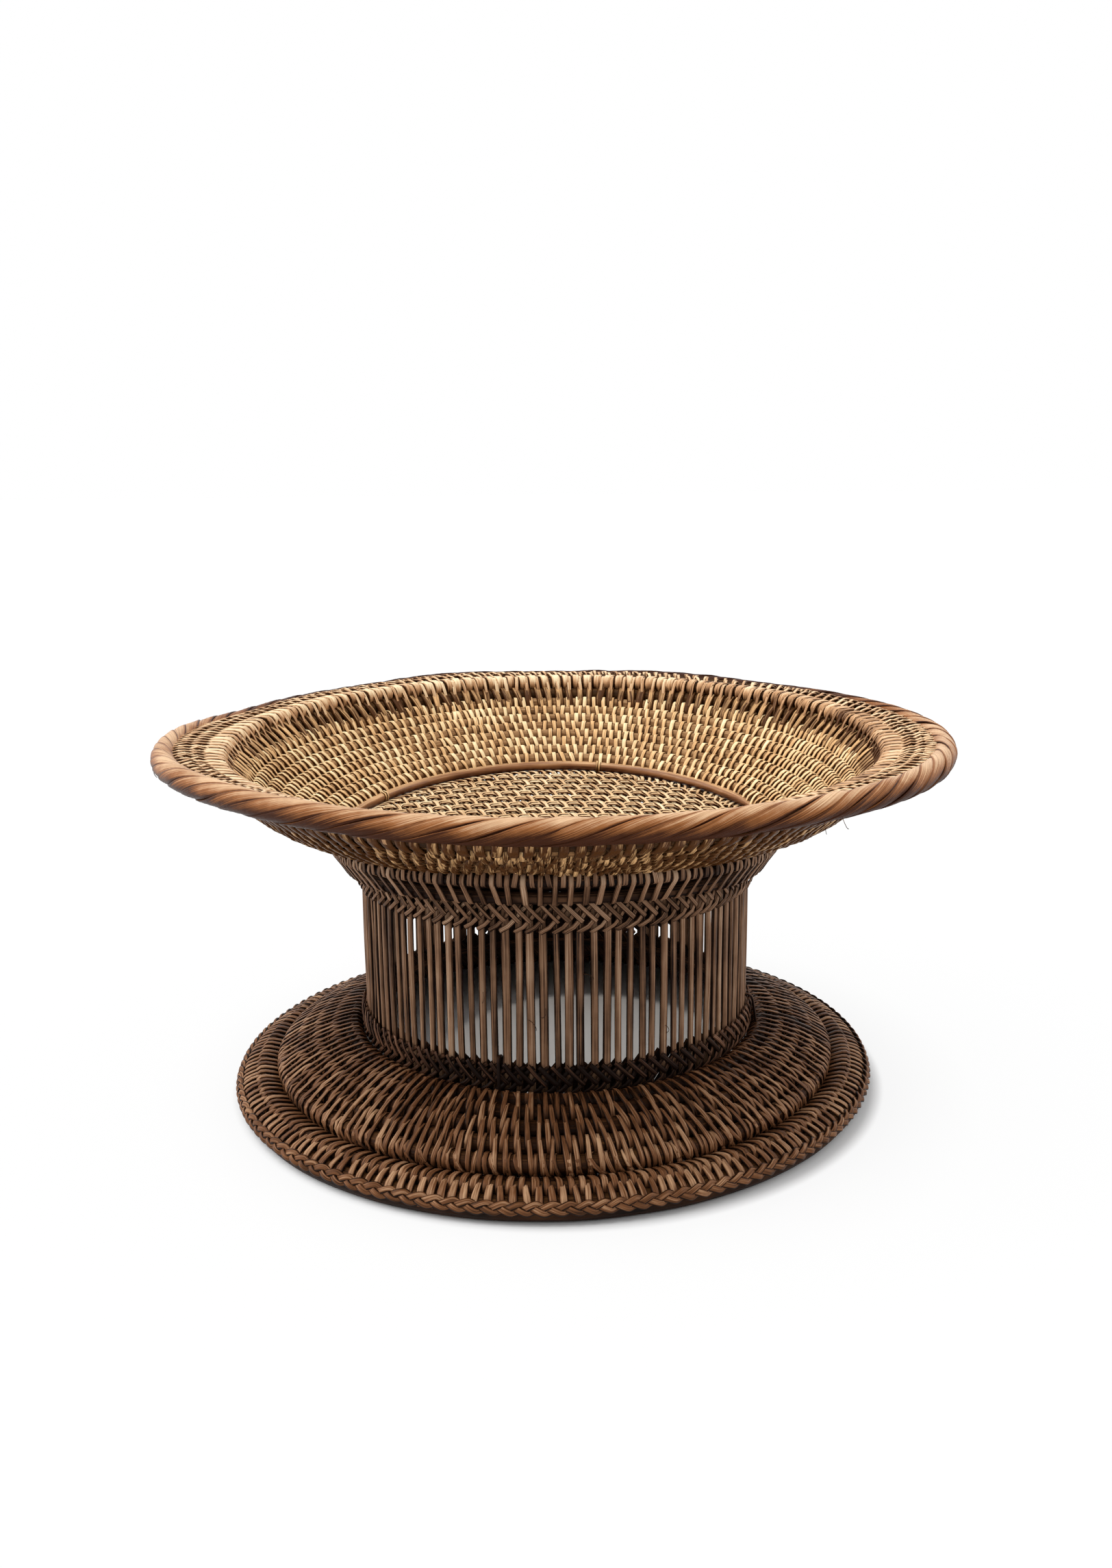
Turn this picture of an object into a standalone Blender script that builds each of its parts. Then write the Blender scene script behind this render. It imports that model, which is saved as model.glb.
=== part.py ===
"""Coiled and plaited rattan bowl on an open neck of splints and a domed foot.

Metres, +Z up, origin on the ground in the middle of the foot, front towards -Y.
Each loop of rod is laid against its neighbour, so a size that changes moves what lies on it.
"""

import math

import bmesh
import bpy
from mathutils import Vector

MILLIMETRES_IN_METRE = 1000

# Shared by every piece
CLEARANCE = 0.0003
MERGE_DISTANCE = 0.00001
FACETS = 24
FINE_FACETS = 2 * FACETS
SHIFT_STEPS = 2
FULL_TURN = 2 * math.pi
ROD_FLAT_SHARE = math.cos(math.pi / 6)
FRONT = math.radians(270)
BACK = math.radians(90)

# Foot: plaited edge, flange coil and dome coil
EDGE_HALF_WIDTH = 0.0046
EDGE_HALF_HEIGHT = 0.0049
EDGE_SIDES = 8
FLANGE_ROD = 0.0026
FLANGE_TURNS = 2
FLANGE_PITCH = 0.0063
FLANGE_SLOPE = math.radians(-6)
FLANGE_FROM_EDGE = math.radians(140.6)
DOME_ROD = 0.0032
DOME_TURNS = 5
DOME_FROM_FLANGE = math.radians(138)
DOME_REACH = 0.0304
DOME_DROP = 0.0116
DOME_BULGE = 0.0019

# Neck: upright splints, the plaited bands round them and the hoop inside them
NECK_RADIUS = 0.0910
SPLINT_COUNT = 108
SPLINT_WIDTH = 0.0030
SPLINT_THICKNESS = 0.0014
SPLINT_BELOW_BAND = 0.0020
SPLINT_JOIN_HEIGHT = 0.0050
BAND_THICKNESS = 0.0022
LOWER_BAND_RISE = 0.0005
LOWER_BAND_HEIGHT = 0.0128
NECK_OPENING = 0.0592
UPPER_BAND_HEIGHT = 0.0136
INNER_HOOP_ROD = 0.0020
INNER_HOOP_RISE = 0.0055

# Openwork between the neck and the bowl
LOWER_COIL_ROD = 0.0027
TOP_COIL_ROD = 0.0026
UPPER_COIL_ROD = 0.0027
UPPER_COIL_FROM_WALL = math.radians(-80)
LACING_THICKNESS = 0.0009

# Bowl: floor mat, hoop, wall coil, bead, ledge coil and rim
FLOOR_THICKNESS = 0.0018
FLOOR_GAP = 0.0017
FLOOR_OVERLAP = 0.0015
HOOP_ROD = 0.0026
HOOP_OUTSET = 0.0048
WALL_ROD = 0.0027
WALL_TURNS = 9
WALL_PITCH = 0.00640
WALL_SLOPE = math.radians(30)
WALL_FROM_HOOP = math.radians(30)
BEAD_ROD = 0.0040
BEAD_SIDE_LEVELS = 2
BEAD_FROM_WALL = math.radians(58)
LEDGE_ROD = 0.0022
LEDGE_TURNS = 3
LEDGE_PITCH = 0.0049
ROLL_RADIUS = 0.0046
ROLL_SIDES = 8
CORE_ROD = 0.0026
ROLL_SLOT = math.radians(30)
ROLL_SLOT_FACING = math.radians(245)
BOWL_SAG = 0.0060
BEAD_DROP = 0.0027
BEAD_TILT = 0.0032
MAT_RIDGE_PITCH = 0.0124
MAT_RIDGE_WIDTH = 0.0062
MAT_RIDGE_SLOPE = 0.0016
MAT_RELIEF = 0.0006
MAT_CROSS_STEPS = 4
MAT_END_SHARE = 0.99

# Lashings
HOOP_TIE_ROD = 0.0009
HOOP_TIE_ANGLES = [math.radians(degrees) for degrees in (0, 75, 150, 210, 285)]
HOOP_TIE_START = math.radians(80)
HOOP_TIE_END = math.radians(185)
HOOP_TIE_STEPS = 3
FOOT_TIE_ROD = 0.0006
FOOT_TIE_ANGLES = [math.radians(degrees) for degrees in (75, 165, 255, 345)]
FOOT_TIE_RISE = 0.0010
FOOT_TIE_STEPS = 4
FOOT_TIE_START = math.radians(120)
FOOT_TIE_END = math.radians(40)

# sRGB colours of the cane, as seen on each piece
TAN_CANE = "C09A68"
HONEY_CANE = "A87C4E"
GREY_ROD = "8C7454"
UMBER_CANE = "735443"
DARK_CANE = "634529"
CANE_ROUGHNESS = 0.5
SHARP_EDGE = math.radians(50)


def linear(channel: int) -> float:
    """One sRGB channel, 0 to 255, as a linear value."""
    share = channel / 255
    return share / 12.92 if share <= 0.04045 else ((share + 0.055) / 1.055) ** 2.4


def cane(hex_colour: str) -> bpy.types.Material:
    """A cane material of one colour, made once."""
    name = "cane_" + hex_colour
    if name in bpy.data.materials:
        return bpy.data.materials[name]
    material = bpy.data.materials.new(name)
    material.use_nodes = True
    shader = material.node_tree.nodes["Principled BSDF"]
    colour = [linear(channel) for channel in bytes.fromhex(hex_colour)]
    shader.inputs["Base Color"].default_value = (*colour, 1)
    shader.inputs["Roughness"].default_value = CANE_ROUGHNESS
    return material


def place(name: str, data, hex_colour: str) -> bpy.types.Object:
    """Puts a mesh or a curve in the bowl's collection, with its material."""
    data.materials.append(cane(hex_colour))
    piece = bpy.data.objects.new(name, data)
    bpy.data.collections["wicker_bowl"].objects.link(piece)
    return piece


def beside(centre, reach: float, direction: float):
    """The (radius, height) at a distance and a direction from another one."""
    radius, height = centre
    return radius + reach * math.cos(direction), height + reach * math.sin(direction)


def loop_round(radius: float, rod: float) -> float:
    """Radius of a loop whose facets stay clear outside a round of the given radius."""
    return (radius + CLEARANCE) / math.cos(math.pi / FACETS) + rod


# Places worked out from the sizes above, as (radius, height) of each loop's middle.
# The foot's heights add up from the ground, and its radii from the neck outwards.
BAND_INNER = (NECK_RADIUS + CLEARANCE) / math.cos(math.pi / FINE_FACETS)
BAND_OUTER = BAND_INNER + BAND_THICKNESS
EDGE_REACH = FLANGE_ROD + EDGE_HALF_WIDTH + CLEARANCE
FLANGE_REACH = DOME_ROD + FLANGE_ROD + CLEARANCE
FLANGE_DROP = -(FLANGE_TURNS - 1) * FLANGE_PITCH * math.sin(FLANGE_SLOPE)
FOOT_RISE = EDGE_REACH * math.sin(FLANGE_FROM_EDGE) + FLANGE_REACH * math.sin(DOME_FROM_FLANGE)
DOME_HEIGHT = EDGE_HALF_HEIGHT + FOOT_RISE + FLANGE_DROP + DOME_DROP
DOME_START = (loop_round(BAND_OUTER, DOME_ROD), DOME_HEIGHT)
DOME_END = (DOME_START[0] + DOME_REACH, DOME_START[1] - DOME_DROP)
FLANGE_START = beside(DOME_END, FLANGE_REACH, DOME_FROM_FLANGE + math.pi)
FLANGE_END = beside(FLANGE_START, (FLANGE_TURNS - 1) * FLANGE_PITCH, FLANGE_SLOPE)
EDGE = beside(FLANGE_END, EDGE_REACH, FLANGE_FROM_EDGE + math.pi)
LOWER_BAND_FOOT = DOME_HEIGHT + LOWER_BAND_RISE
UPPER_BAND_FOOT = LOWER_BAND_FOOT + LOWER_BAND_HEIGHT + NECK_OPENING
UPPER_BAND_TOP = UPPER_BAND_FOOT + UPPER_BAND_HEIGHT
LOWER_COIL = (
    loop_round(BAND_OUTER, LOWER_COIL_ROD),
    UPPER_BAND_TOP + CLEARANCE + LOWER_COIL_ROD,
)
TOP_COIL_RADIUS = loop_round(NECK_RADIUS, TOP_COIL_ROD)
TOP_COIL = beside(
    LOWER_COIL,
    LOWER_COIL_ROD + TOP_COIL_ROD + CLEARANCE,
    math.acos((TOP_COIL_RADIUS - LOWER_COIL[0]) / (LOWER_COIL_ROD + TOP_COIL_ROD + CLEARANCE)),
)
FLOOR_BOTTOM = TOP_COIL[1] + TOP_COIL_ROD + FLOOR_GAP
FLOOR_TOP = FLOOR_BOTTOM + FLOOR_THICKNESS
HOOP = (TOP_COIL_RADIUS + HOOP_OUTSET, FLOOR_TOP + CLEARANCE + HOOP_ROD)
WALL_START = beside(HOOP, (HOOP_ROD + WALL_ROD) * ROD_FLAT_SHARE + 2 * CLEARANCE, WALL_FROM_HOOP)
UPPER_COIL = beside(WALL_START, WALL_ROD + UPPER_COIL_ROD + CLEARANCE, UPPER_COIL_FROM_WALL)
WALL_END = beside(WALL_START, (WALL_TURNS - 1) * WALL_PITCH, WALL_SLOPE)
BEAD = beside(WALL_END, WALL_ROD + BEAD_ROD + CLEARANCE, BEAD_FROM_WALL)
LEDGE_START = (BEAD[0] + BEAD_ROD + LEDGE_ROD + CLEARANCE, BEAD[1])
LEDGE_END = (LEDGE_START[0] + (LEDGE_TURNS - 1) * LEDGE_PITCH, LEDGE_START[1])
RIM = (LEDGE_END[0] + LEDGE_ROD + ROLL_RADIUS + CLEARANCE, LEDGE_END[1])


def settled(point) -> Vector:
    """A point of the bowl lowered by its sag, greatest at the left and right of the floor, and by its drop.

    The drop grows from the hoop to the bead, which hangs lower at the front, and fades out at the rim.
    """
    x, y, z = point
    radius = math.hypot(x, y)
    spread = max(radius, HOOP[0])
    rise = min(max((z - HOOP[1]) / (BEAD[1] - HOOP[1]), 0), 1)
    sag = BOWL_SAG * (1 - smooth(rise)) * (x / spread) ** 2
    inside = (radius - HOOP[0]) / (WALL_END[0] - HOOP[0])
    outside = (RIM[0] - radius) / (RIM[0] - BEAD[0])
    share = max(min(inside, outside, 1), 0)
    return Vector((x, y, z - sag - share * (BEAD_DROP - BEAD_TILT * y / spread)))


def smooth(share: float) -> float:
    """Eases a share that runs from 0 to 1."""
    return share * share * (3 - 2 * share)


def at(radius: float, height: float, azimuth: float) -> Vector:
    return Vector((radius * math.cos(azimuth), radius * math.sin(azimuth), height))


def rod(name: str, points, radius: float, hex_colour: str, closed: bool = False, side_levels: int = 1):
    """A round rod along the points, as a curve with a bevel and filled caps."""
    curve = bpy.data.curves.new(name, "CURVE")
    curve.dimensions = "3D"
    curve.twist_mode = "Z_UP"
    curve.bevel_depth = radius
    curve.bevel_resolution = side_levels
    curve.use_fill_caps = True
    spline = curve.splines.new("POLY")
    spline.points.add(len(points) - 1)
    for control, point in zip(spline.points, points):
        control.co = (*point, 1)
    spline.use_cyclic_u = closed
    return place(name, curve, hex_colour)


def hoop(
    name: str,
    centre,
    radius: float,
    hex_colour: str,
    shaped=Vector,
    facets: int = FACETS,
    side_levels: int = 1,
):
    """One closed loop of rod round the axis."""
    steps = [FULL_TURN * step / facets for step in range(facets)]
    points = [shaped(at(*centre, azimuth)) for azimuth in steps]
    return rod(name, points, radius, hex_colour, True, side_levels)


def coil(name: str, row_place, turns: int, radius: float, start: float, hex_colour: str, shaped=Vector):
    """One unbroken rod laid in round rows, which steps out by a row just before its start azimuth."""
    points = []
    for step in range(turns * FACETS - SHIFT_STEPS + 1):
        turn, part = divmod(step, FACETS)
        shift = max(part - (FACETS - SHIFT_STEPS), 0) / SHIFT_STEPS
        azimuth = start + FULL_TURN * step / FACETS
        points.append(shaped(at(*row_place(turn + smooth(shift)), azimuth)))
    middles = [(first + second) / 2 for first, second in zip(points, points[1:])]
    least = min(
        (middles[later] - middle).length
        for index, middle in enumerate(middles)
        for later in range(index + FACETS // 2, len(middles))
    )
    print(f"{name}: least gap to itself {(least - 2 * radius) * MILLIMETRES_IN_METRE:.2f} mm")
    return rod(name, points, radius, hex_colour)


def turned_mesh(name: str, outline, steps: int) -> bmesh.types.BMesh:
    """The closed (radius, height) outline spun once round the axis."""
    form = bmesh.new()
    corners = [form.verts.new((radius, 0, height)) for radius, height in outline]
    edges = [form.edges.new((corner, corners[index - 1])) for index, corner in enumerate(corners)]
    bmesh.ops.spin(
        form,
        geom=corners + edges,
        cent=(0, 0, 0),
        axis=(0, 0, 1),
        angle=FULL_TURN,
        steps=steps,
        use_merge=True,
    )
    bmesh.ops.remove_doubles(form, verts=form.verts, dist=MERGE_DISTANCE)
    bmesh.ops.recalc_face_normals(form, faces=form.faces)
    return form


def finish(name: str, form: bmesh.types.BMesh, hex_colour: str, shaped=Vector):
    """Ends a bmesh as a smooth-shaded piece, with each point moved by the shaping function."""
    for vertex in form.verts:
        vertex.co = shaped(vertex.co)
    mesh = bpy.data.meshes.new(name)
    form.to_mesh(mesh)
    form.free()
    mesh.shade_smooth()
    mesh.set_sharp_from_angle(angle=SHARP_EDGE)
    return place(name, mesh, hex_colour)


def turned(name: str, outline, hex_colour: str, steps: int = FACETS, shaped=Vector):
    return finish(name, turned_mesh(name, outline, steps), hex_colour, shaped)


def circle_outline(centre, half_width: float, half_height: float, sides: int):
    """A many-sided round with a flat side down."""
    half_side = math.pi / sides
    spread = 1 / math.cos(half_side)
    turns = [half_side + FULL_TURN * side / sides for side in range(sides)]
    return [
        (centre[0] + half_width * math.cos(turn), centre[1] + half_height * spread * math.sin(turn))
        for turn in turns
    ]


def rim():
    """The core hoop, and the wrapping round it as a shell that is open where the ledge's stitches enter."""
    channel = CORE_ROD + CLEARANCE
    sweep = FULL_TURN - 2 * ROLL_SLOT
    turns = [ROLL_SLOT_FACING + ROLL_SLOT + sweep * side / ROLL_SIDES for side in range(ROLL_SIDES + 1)]
    outer = [beside(RIM, ROLL_RADIUS, turn) for turn in turns]
    inner = [beside(RIM, channel / math.cos(math.pi / ROLL_SIDES), turn) for turn in reversed(turns)]
    turned("rim_wrap", outer + inner, HONEY_CANE, FINE_FACETS)
    hoop("rim_core", RIM, CORE_ROD, GREY_ROD, facets=FINE_FACETS)


def ledge_and_bead():
    coil(
        "ledge_coil",
        lambda row: (LEDGE_START[0] + row * LEDGE_PITCH, LEDGE_START[1]),
        LEDGE_TURNS,
        LEDGE_ROD,
        FRONT,
        TAN_CANE,
        settled,
    )
    hoop("bead", BEAD, BEAD_ROD, TAN_CANE, settled, side_levels=BEAD_SIDE_LEVELS)


def wall():
    coil(
        "wall_coil",
        lambda row: beside(WALL_START, row * WALL_PITCH, WALL_SLOPE),
        WALL_TURNS,
        WALL_ROD,
        FRONT,
        TAN_CANE,
        settled,
    )


def mat_lines(edge: float):
    """The (distance from the middle, height) of each line across the mat's ribbed top, front to back."""
    lines = []
    count = int(edge / MAT_RIDGE_PITCH)
    for number in range(-count, count + 1):
        middle = number * MAT_RIDGE_PITCH
        half = MAT_RIDGE_WIDTH / 2
        sides = [(half, 0), (half + MAT_RIDGE_SLOPE, MAT_RELIEF)]
        lines += [(middle - reach, FLOOR_TOP - depth) for reach, depth in reversed(sides)]
        lines += [(middle + reach, FLOOR_TOP - depth) for reach, depth in sides]
    ends = [(side * MAT_END_SHARE * edge, FLOOR_TOP) for side in (-1, 1)]
    return ends[:1] + [line for line in lines if abs(line[0]) < ends[1][0] - MAT_RIDGE_SLOPE] + ends[1:]


def floor():
    """The woven mat, with a rib for each pair of its cross strands, held down by the bare hoop."""
    edge = HOOP[0] + FLOOR_OVERLAP
    form = bmesh.new()
    rows = []
    for y, top in mat_lines(edge):
        half = math.sqrt(edge * edge - y * y)
        stations = [half * (2 * step / MAT_CROSS_STEPS - 1) for step in range(MAT_CROSS_STEPS + 1)]
        upper = [form.verts.new((x, y, top)) for x in stations]
        lower = [form.verts.new((x, y, FLOOR_BOTTOM)) for x in stations]
        rows.append(upper + lower[::-1])
    for first, second in zip(rows, rows[1:]):
        for index, corner in enumerate(first):
            form.faces.new((corner, first[index - 1], second[index - 1], second[index]))
    form.faces.new(rows[0])
    form.faces.new(rows[-1])
    bmesh.ops.triangulate(form, faces=form.faces)
    bmesh.ops.recalc_face_normals(form, faces=form.faces)
    finish("floor_mat", form, TAN_CANE, settled)
    hoop("floor_hoop", HOOP, HOOP_ROD, HONEY_CANE, settled)


def hoop_ties():
    """Short lashings over the top and inner side of the bare hoop."""
    reach = HOOP_ROD + HOOP_TIE_ROD + CLEARANCE
    sweep = HOOP_TIE_END - HOOP_TIE_START
    for number, azimuth in enumerate(HOOP_TIE_ANGLES, 1):
        turns = [HOOP_TIE_START + sweep * step / HOOP_TIE_STEPS for step in range(HOOP_TIE_STEPS + 1)]
        points = [settled(at(*beside(HOOP, reach, turn), azimuth)) for turn in turns]
        rod(f"hoop_tie_{number}", points, HOOP_TIE_ROD, TAN_CANE)


def openwork():
    """The coils under the bowl, and the lacing that holds the lower coil to the upper one."""
    hoop("upper_coil", UPPER_COIL, UPPER_COIL_ROD, UMBER_CANE, settled)
    hoop("lower_coil", LOWER_COIL, LOWER_COIL_ROD, UMBER_CANE, settled)
    hoop("top_coil", TOP_COIL, TOP_COIL_ROD, UMBER_CANE, settled)
    foot_radius = LOWER_COIL[0] + LOWER_COIL_ROD + CLEARANCE
    foot = LOWER_COIL[1] - LOWER_COIL_ROD / 2
    top = UPPER_COIL[1] - UPPER_COIL_ROD - CLEARANCE
    outline = [
        (foot_radius, foot),
        (foot_radius + LACING_THICKNESS, foot),
        (UPPER_COIL[0] + LACING_THICKNESS, top),
        (UPPER_COIL[0], top),
    ]
    turned("lacing", outline, UMBER_CANE, shaped=settled)


def band(name: str, foot: float, height: float):
    """A plaited band round the splints, as a thin ring."""
    top = foot + height
    outline = [(BAND_INNER, foot), (BAND_OUTER, foot), (BAND_OUTER, top), (BAND_INNER, top)]
    turned(name, outline, UMBER_CANE, FINE_FACETS)


def azimuth_of(face: bmesh.types.BMFace) -> float:
    middle = face.calc_center_median()
    return math.atan2(middle.y, middle.x) % FULL_TURN


def splints():
    """All upright splints as one comb, joined at the top where the band and the openwork cover them."""
    inner = NECK_RADIUS - SPLINT_THICKNESS
    top = TOP_COIL[1] - TOP_COIL_ROD
    join = top - SPLINT_JOIN_HEIGHT
    outline = [(inner, join), (NECK_RADIUS, join), (NECK_RADIUS, top), (inner, top)]
    columns = 2 * SPLINT_COUNT
    form = turned_mesh("splints", outline, columns)
    widening = (SPLINT_WIDTH / NECK_RADIUS - FULL_TURN / columns) / 2
    for vertex in form.verts:
        azimuth = math.atan2(vertex.co.y, vertex.co.x)
        column = round(azimuth * columns / FULL_TURN)
        turn = widening if column % 2 else -widening
        vertex.co = at(math.hypot(vertex.co.x, vertex.co.y), vertex.co.z, azimuth + turn)
    under = [face for face in form.faces if face.calc_center_median().z < join + CLEARANCE]
    under.sort(key=azimuth_of)
    grown = bmesh.ops.extrude_discrete_faces(form, faces=under[::2])
    for face in grown["faces"]:
        for vertex in face.verts:
            vertex.co.z = LOWER_BAND_FOOT - SPLINT_BELOW_BAND
    bmesh.ops.recalc_face_normals(form, faces=form.faces)
    finish("splints", form, UMBER_CANE)


def neck():
    splints()
    band("upper_band", UPPER_BAND_FOOT, UPPER_BAND_HEIGHT)
    band("lower_band", LOWER_BAND_FOOT, LOWER_BAND_HEIGHT)
    inside = NECK_RADIUS - SPLINT_THICKNESS - CLEARANCE - INNER_HOOP_ROD
    hoop("inner_hoop", (inside, LOWER_BAND_FOOT + INNER_HOOP_RISE), INNER_HOOP_ROD, UMBER_CANE)


def dome_row(row: float):
    """Middle of a dome row: along a chord that bulges outwards."""
    share = row / (DOME_TURNS - 1)
    span = math.hypot(DOME_REACH, DOME_DROP)
    lift = DOME_BULGE * 4 * share * (1 - share)
    radius = DOME_START[0] + DOME_REACH * share + lift * DOME_DROP / span
    return radius, DOME_START[1] - DOME_DROP * share + lift * DOME_REACH / span


def foot():
    coil("dome_coil", dome_row, DOME_TURNS, DOME_ROD, BACK, DARK_CANE)
    coil(
        "flange_coil",
        lambda row: beside(FLANGE_START, row * FLANGE_PITCH, FLANGE_SLOPE),
        FLANGE_TURNS,
        FLANGE_ROD,
        BACK,
        DARK_CANE,
    )
    inner_height = EDGE_HALF_HEIGHT * math.cos(math.pi / EDGE_SIDES)
    outline = circle_outline(EDGE, EDGE_HALF_WIDTH, inner_height, EDGE_SIDES)
    base = min(height for _, height in outline)
    turned("foot_edge", [(radius, height - base) for radius, height in outline], DARK_CANE, FINE_FACETS)


def foot_ties():
    """Lashings down the lower band and over the first row of the dome."""
    band_side = BAND_OUTER + CLEARANCE + FOOT_TIE_ROD
    top = LOWER_BAND_FOOT + LOWER_BAND_HEIGHT
    reach = DOME_ROD + FOOT_TIE_ROD + FOOT_TIE_RISE
    sweep = FOOT_TIE_END - FOOT_TIE_START
    for number, azimuth in enumerate(FOOT_TIE_ANGLES, 1):
        turns = [FOOT_TIE_START + sweep * step / FOOT_TIE_STEPS for step in range(FOOT_TIE_STEPS + 1)]
        over = [beside(DOME_START, reach, turn) for turn in turns]
        route = [(band_side, top)] + [(max(radius, band_side), height) for radius, height in over]
        rod(f"foot_tie_{number}", [at(*place_on, azimuth) for place_on in route], FOOT_TIE_ROD, DARK_CANE)


def main():
    for old in list(bpy.data.objects):
        bpy.data.objects.remove(old)
    bpy.context.scene.collection.children.link(bpy.data.collections.new("wicker_bowl"))
    rim()
    ledge_and_bead()
    wall()
    floor()
    hoop_ties()
    openwork()
    neck()
    foot()
    foot_ties()


main()
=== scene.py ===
"""Coiled and plaited rattan bowl: its looks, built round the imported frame.

Metres, +Z up, origin on the ground in the middle of the foot, front towards -Y, as in the frame.
"""

import logging
import math
from dataclasses import dataclass, field
from enum import Enum
from typing import Callable

import bmesh
import bpy
import numpy as np
from mathutils import Matrix, Vector

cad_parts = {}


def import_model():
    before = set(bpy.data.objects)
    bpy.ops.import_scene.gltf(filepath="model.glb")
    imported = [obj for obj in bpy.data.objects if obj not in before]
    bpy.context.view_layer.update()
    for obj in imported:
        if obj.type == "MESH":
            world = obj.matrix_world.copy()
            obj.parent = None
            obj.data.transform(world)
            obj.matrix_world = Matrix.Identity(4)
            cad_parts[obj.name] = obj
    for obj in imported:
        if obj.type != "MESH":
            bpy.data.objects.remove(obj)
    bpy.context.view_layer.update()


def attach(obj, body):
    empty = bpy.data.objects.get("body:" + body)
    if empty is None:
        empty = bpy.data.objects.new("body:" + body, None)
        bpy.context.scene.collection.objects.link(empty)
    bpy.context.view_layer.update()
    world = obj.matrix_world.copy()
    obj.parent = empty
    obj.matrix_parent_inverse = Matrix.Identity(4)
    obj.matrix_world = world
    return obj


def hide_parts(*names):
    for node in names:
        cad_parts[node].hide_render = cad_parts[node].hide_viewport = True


log = logging.getLogger("bowl")

Array = np.ndarray
Shaping = Callable[[Array], Array]
# Radius and height of a rod's middle at each stitch that holds it, and the rod's own radius.
HeldRod = tuple[Array | float, Array | float, float]
TURN = 2 * math.pi
FRONT = math.radians(270)
BACK = math.radians(90)
SEED = 7


@dataclass(frozen=True)
class Place:
    """The middle of a loop of cane: its radius from the axis and its height."""

    radius: float
    height: float

    def away(self, reach: float, direction: float) -> "Place":
        """The place at a distance and a direction (0 outwards, 90 degrees up) from this one."""
        return Place(self.radius + reach * math.cos(direction), self.height + reach * math.sin(direction))

    def held(self, rod: float) -> HeldRod:
        """A level rod of this radius that lies here, as the stitches that hold it need it."""
        return self.radius, self.height, rod


# Where the rods, hoops and edges lie.
RIM = Place(0.17543, 0.16307)
LEDGE = Place(0.15853, 0.16307)
BEAD = Place(0.15203, 0.16307)
WALL_START = Place(0.10398, 0.13153)
WALL_END = Place(0.14832, 0.15713)
HOOP = Place(0.09949, 0.12894)
UPPER_COIL = Place(0.10497, 0.12592)
LOWER_COIL = Place(0.09751, 0.11510)
TOP_COIL = Place(0.09469, 0.11994)
DOME_START = Place(0.09801, 0.02600)
DOME_END = Place(0.12841, 0.01440)
FLANGE_START = Place(0.13294, 0.01032)
EDGE = Place(0.14500, 0.00490)
FLOOR_MIDDLE = 0.12510
NECK_RADIUS = 0.0910
# How far the bowl has settled, and the depths over which some of it fades in.
BOWL_SAG = 0.0060
BEAD_DROP = 0.0027
BEAD_TILT = 0.0032
HOOP_DROP = 0.0010
HOOP_FADE = 0.0040
LEDGE_LIFT = 0.0016
WALL_SAG = 0.0040
WALL_SAG_SKEW = 1.5
COIL_SAG = 0.0025
COIL_DRAWN_IN = 0.0030
COIL_FADE = 0.0050
# How the foot is out of round.
FOOT_OVAL = 0.0021
FOOT_BULGE = 0.0014
FOOT_BULGE_SIDE = math.radians(225)
# The rim's bends: azimuth, height and spread, the angles in degrees.
RIM_BENDS = (
    (220, 0.0020, 25),
    (157, -0.0029, 14),
    (132, -0.0011, 14),
    (111, 0.0018, 14),
    (90, 0.0004, 14),
    (69, 0.0016, 14),
    (48, -0.0007, 14),
    (24, -0.0004, 14),
)


def linear_colour(hex_colour: str) -> tuple[float, float, float, float]:
    """Turns an sRGB hex colour into linear values.

    Args:
        hex_colour: six hex digits.

    Returns:
        Linear red, green and blue, and an alpha of 1.
    """
    shares = [channel / 255 for channel in bytes.fromhex(hex_colour)]
    red, green, blue = [
        share / 12.92 if share <= 0.04045 else ((share + 0.055) / 1.055) ** 2.4 for share in shares
    ]
    return red, green, blue, 1.0


def deselect_all() -> None:
    """Leaves no object selected, so that an operator acts only on what is chosen next."""
    bpy.ops.object.select_all(action="DESELECT")


def eased(share: Array) -> Array:
    """Eases shares that run from 0 to 1, and holds them there outside that range."""
    held = np.clip(share, 0.0, 1.0)
    return held * held * (3 - 2 * held)


def around(radius: Array | float, height: Array | float, azimuth: Array) -> Array:
    """Points at a radius, height and azimuth round the axis.

    Args:
        radius: distances from the axis.
        height: heights above the ground.
        azimuth: angles in radians from +X towards +Y.

    Returns:
        An array of points with one more dimension than the widest argument.
    """
    radius, height, azimuth = np.broadcast_arrays(radius, height, azimuth)
    return np.stack((radius * np.cos(azimuth), radius * np.sin(azimuth), height), axis=-1)


def upwards(azimuth: Array) -> Array:
    """Straight up, once for each azimuth: the way the flat of level cane faces."""
    return around(0.0, 1.0, azimuth)


def outwards(azimuth: Array) -> Array:
    """Away from the axis at each azimuth: the way the flat of upright cane faces."""
    return around(1.0, 0.0, azimuth)


def bent_rim(points: Array, share: Array | float = 1.0) -> Array:
    """Raises and lowers points where the rim, wound by hand, is out of level.

    Args:
        points: the points.
        share: how much of the rim's bend each one takes.

    Returns:
        The bent points.
    """
    azimuth = np.arctan2(points[..., 1], points[..., 0])
    bend = np.zeros_like(azimuth)
    for middle, height, spread in RIM_BENDS:
        apart = (azimuth - math.radians(middle) + math.pi) % TURN - math.pi
        bend += height * np.exp(-((apart / math.radians(spread)) ** 2))
    bent = points.copy()
    bent[..., 2] += bend * share
    return bent


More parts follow.
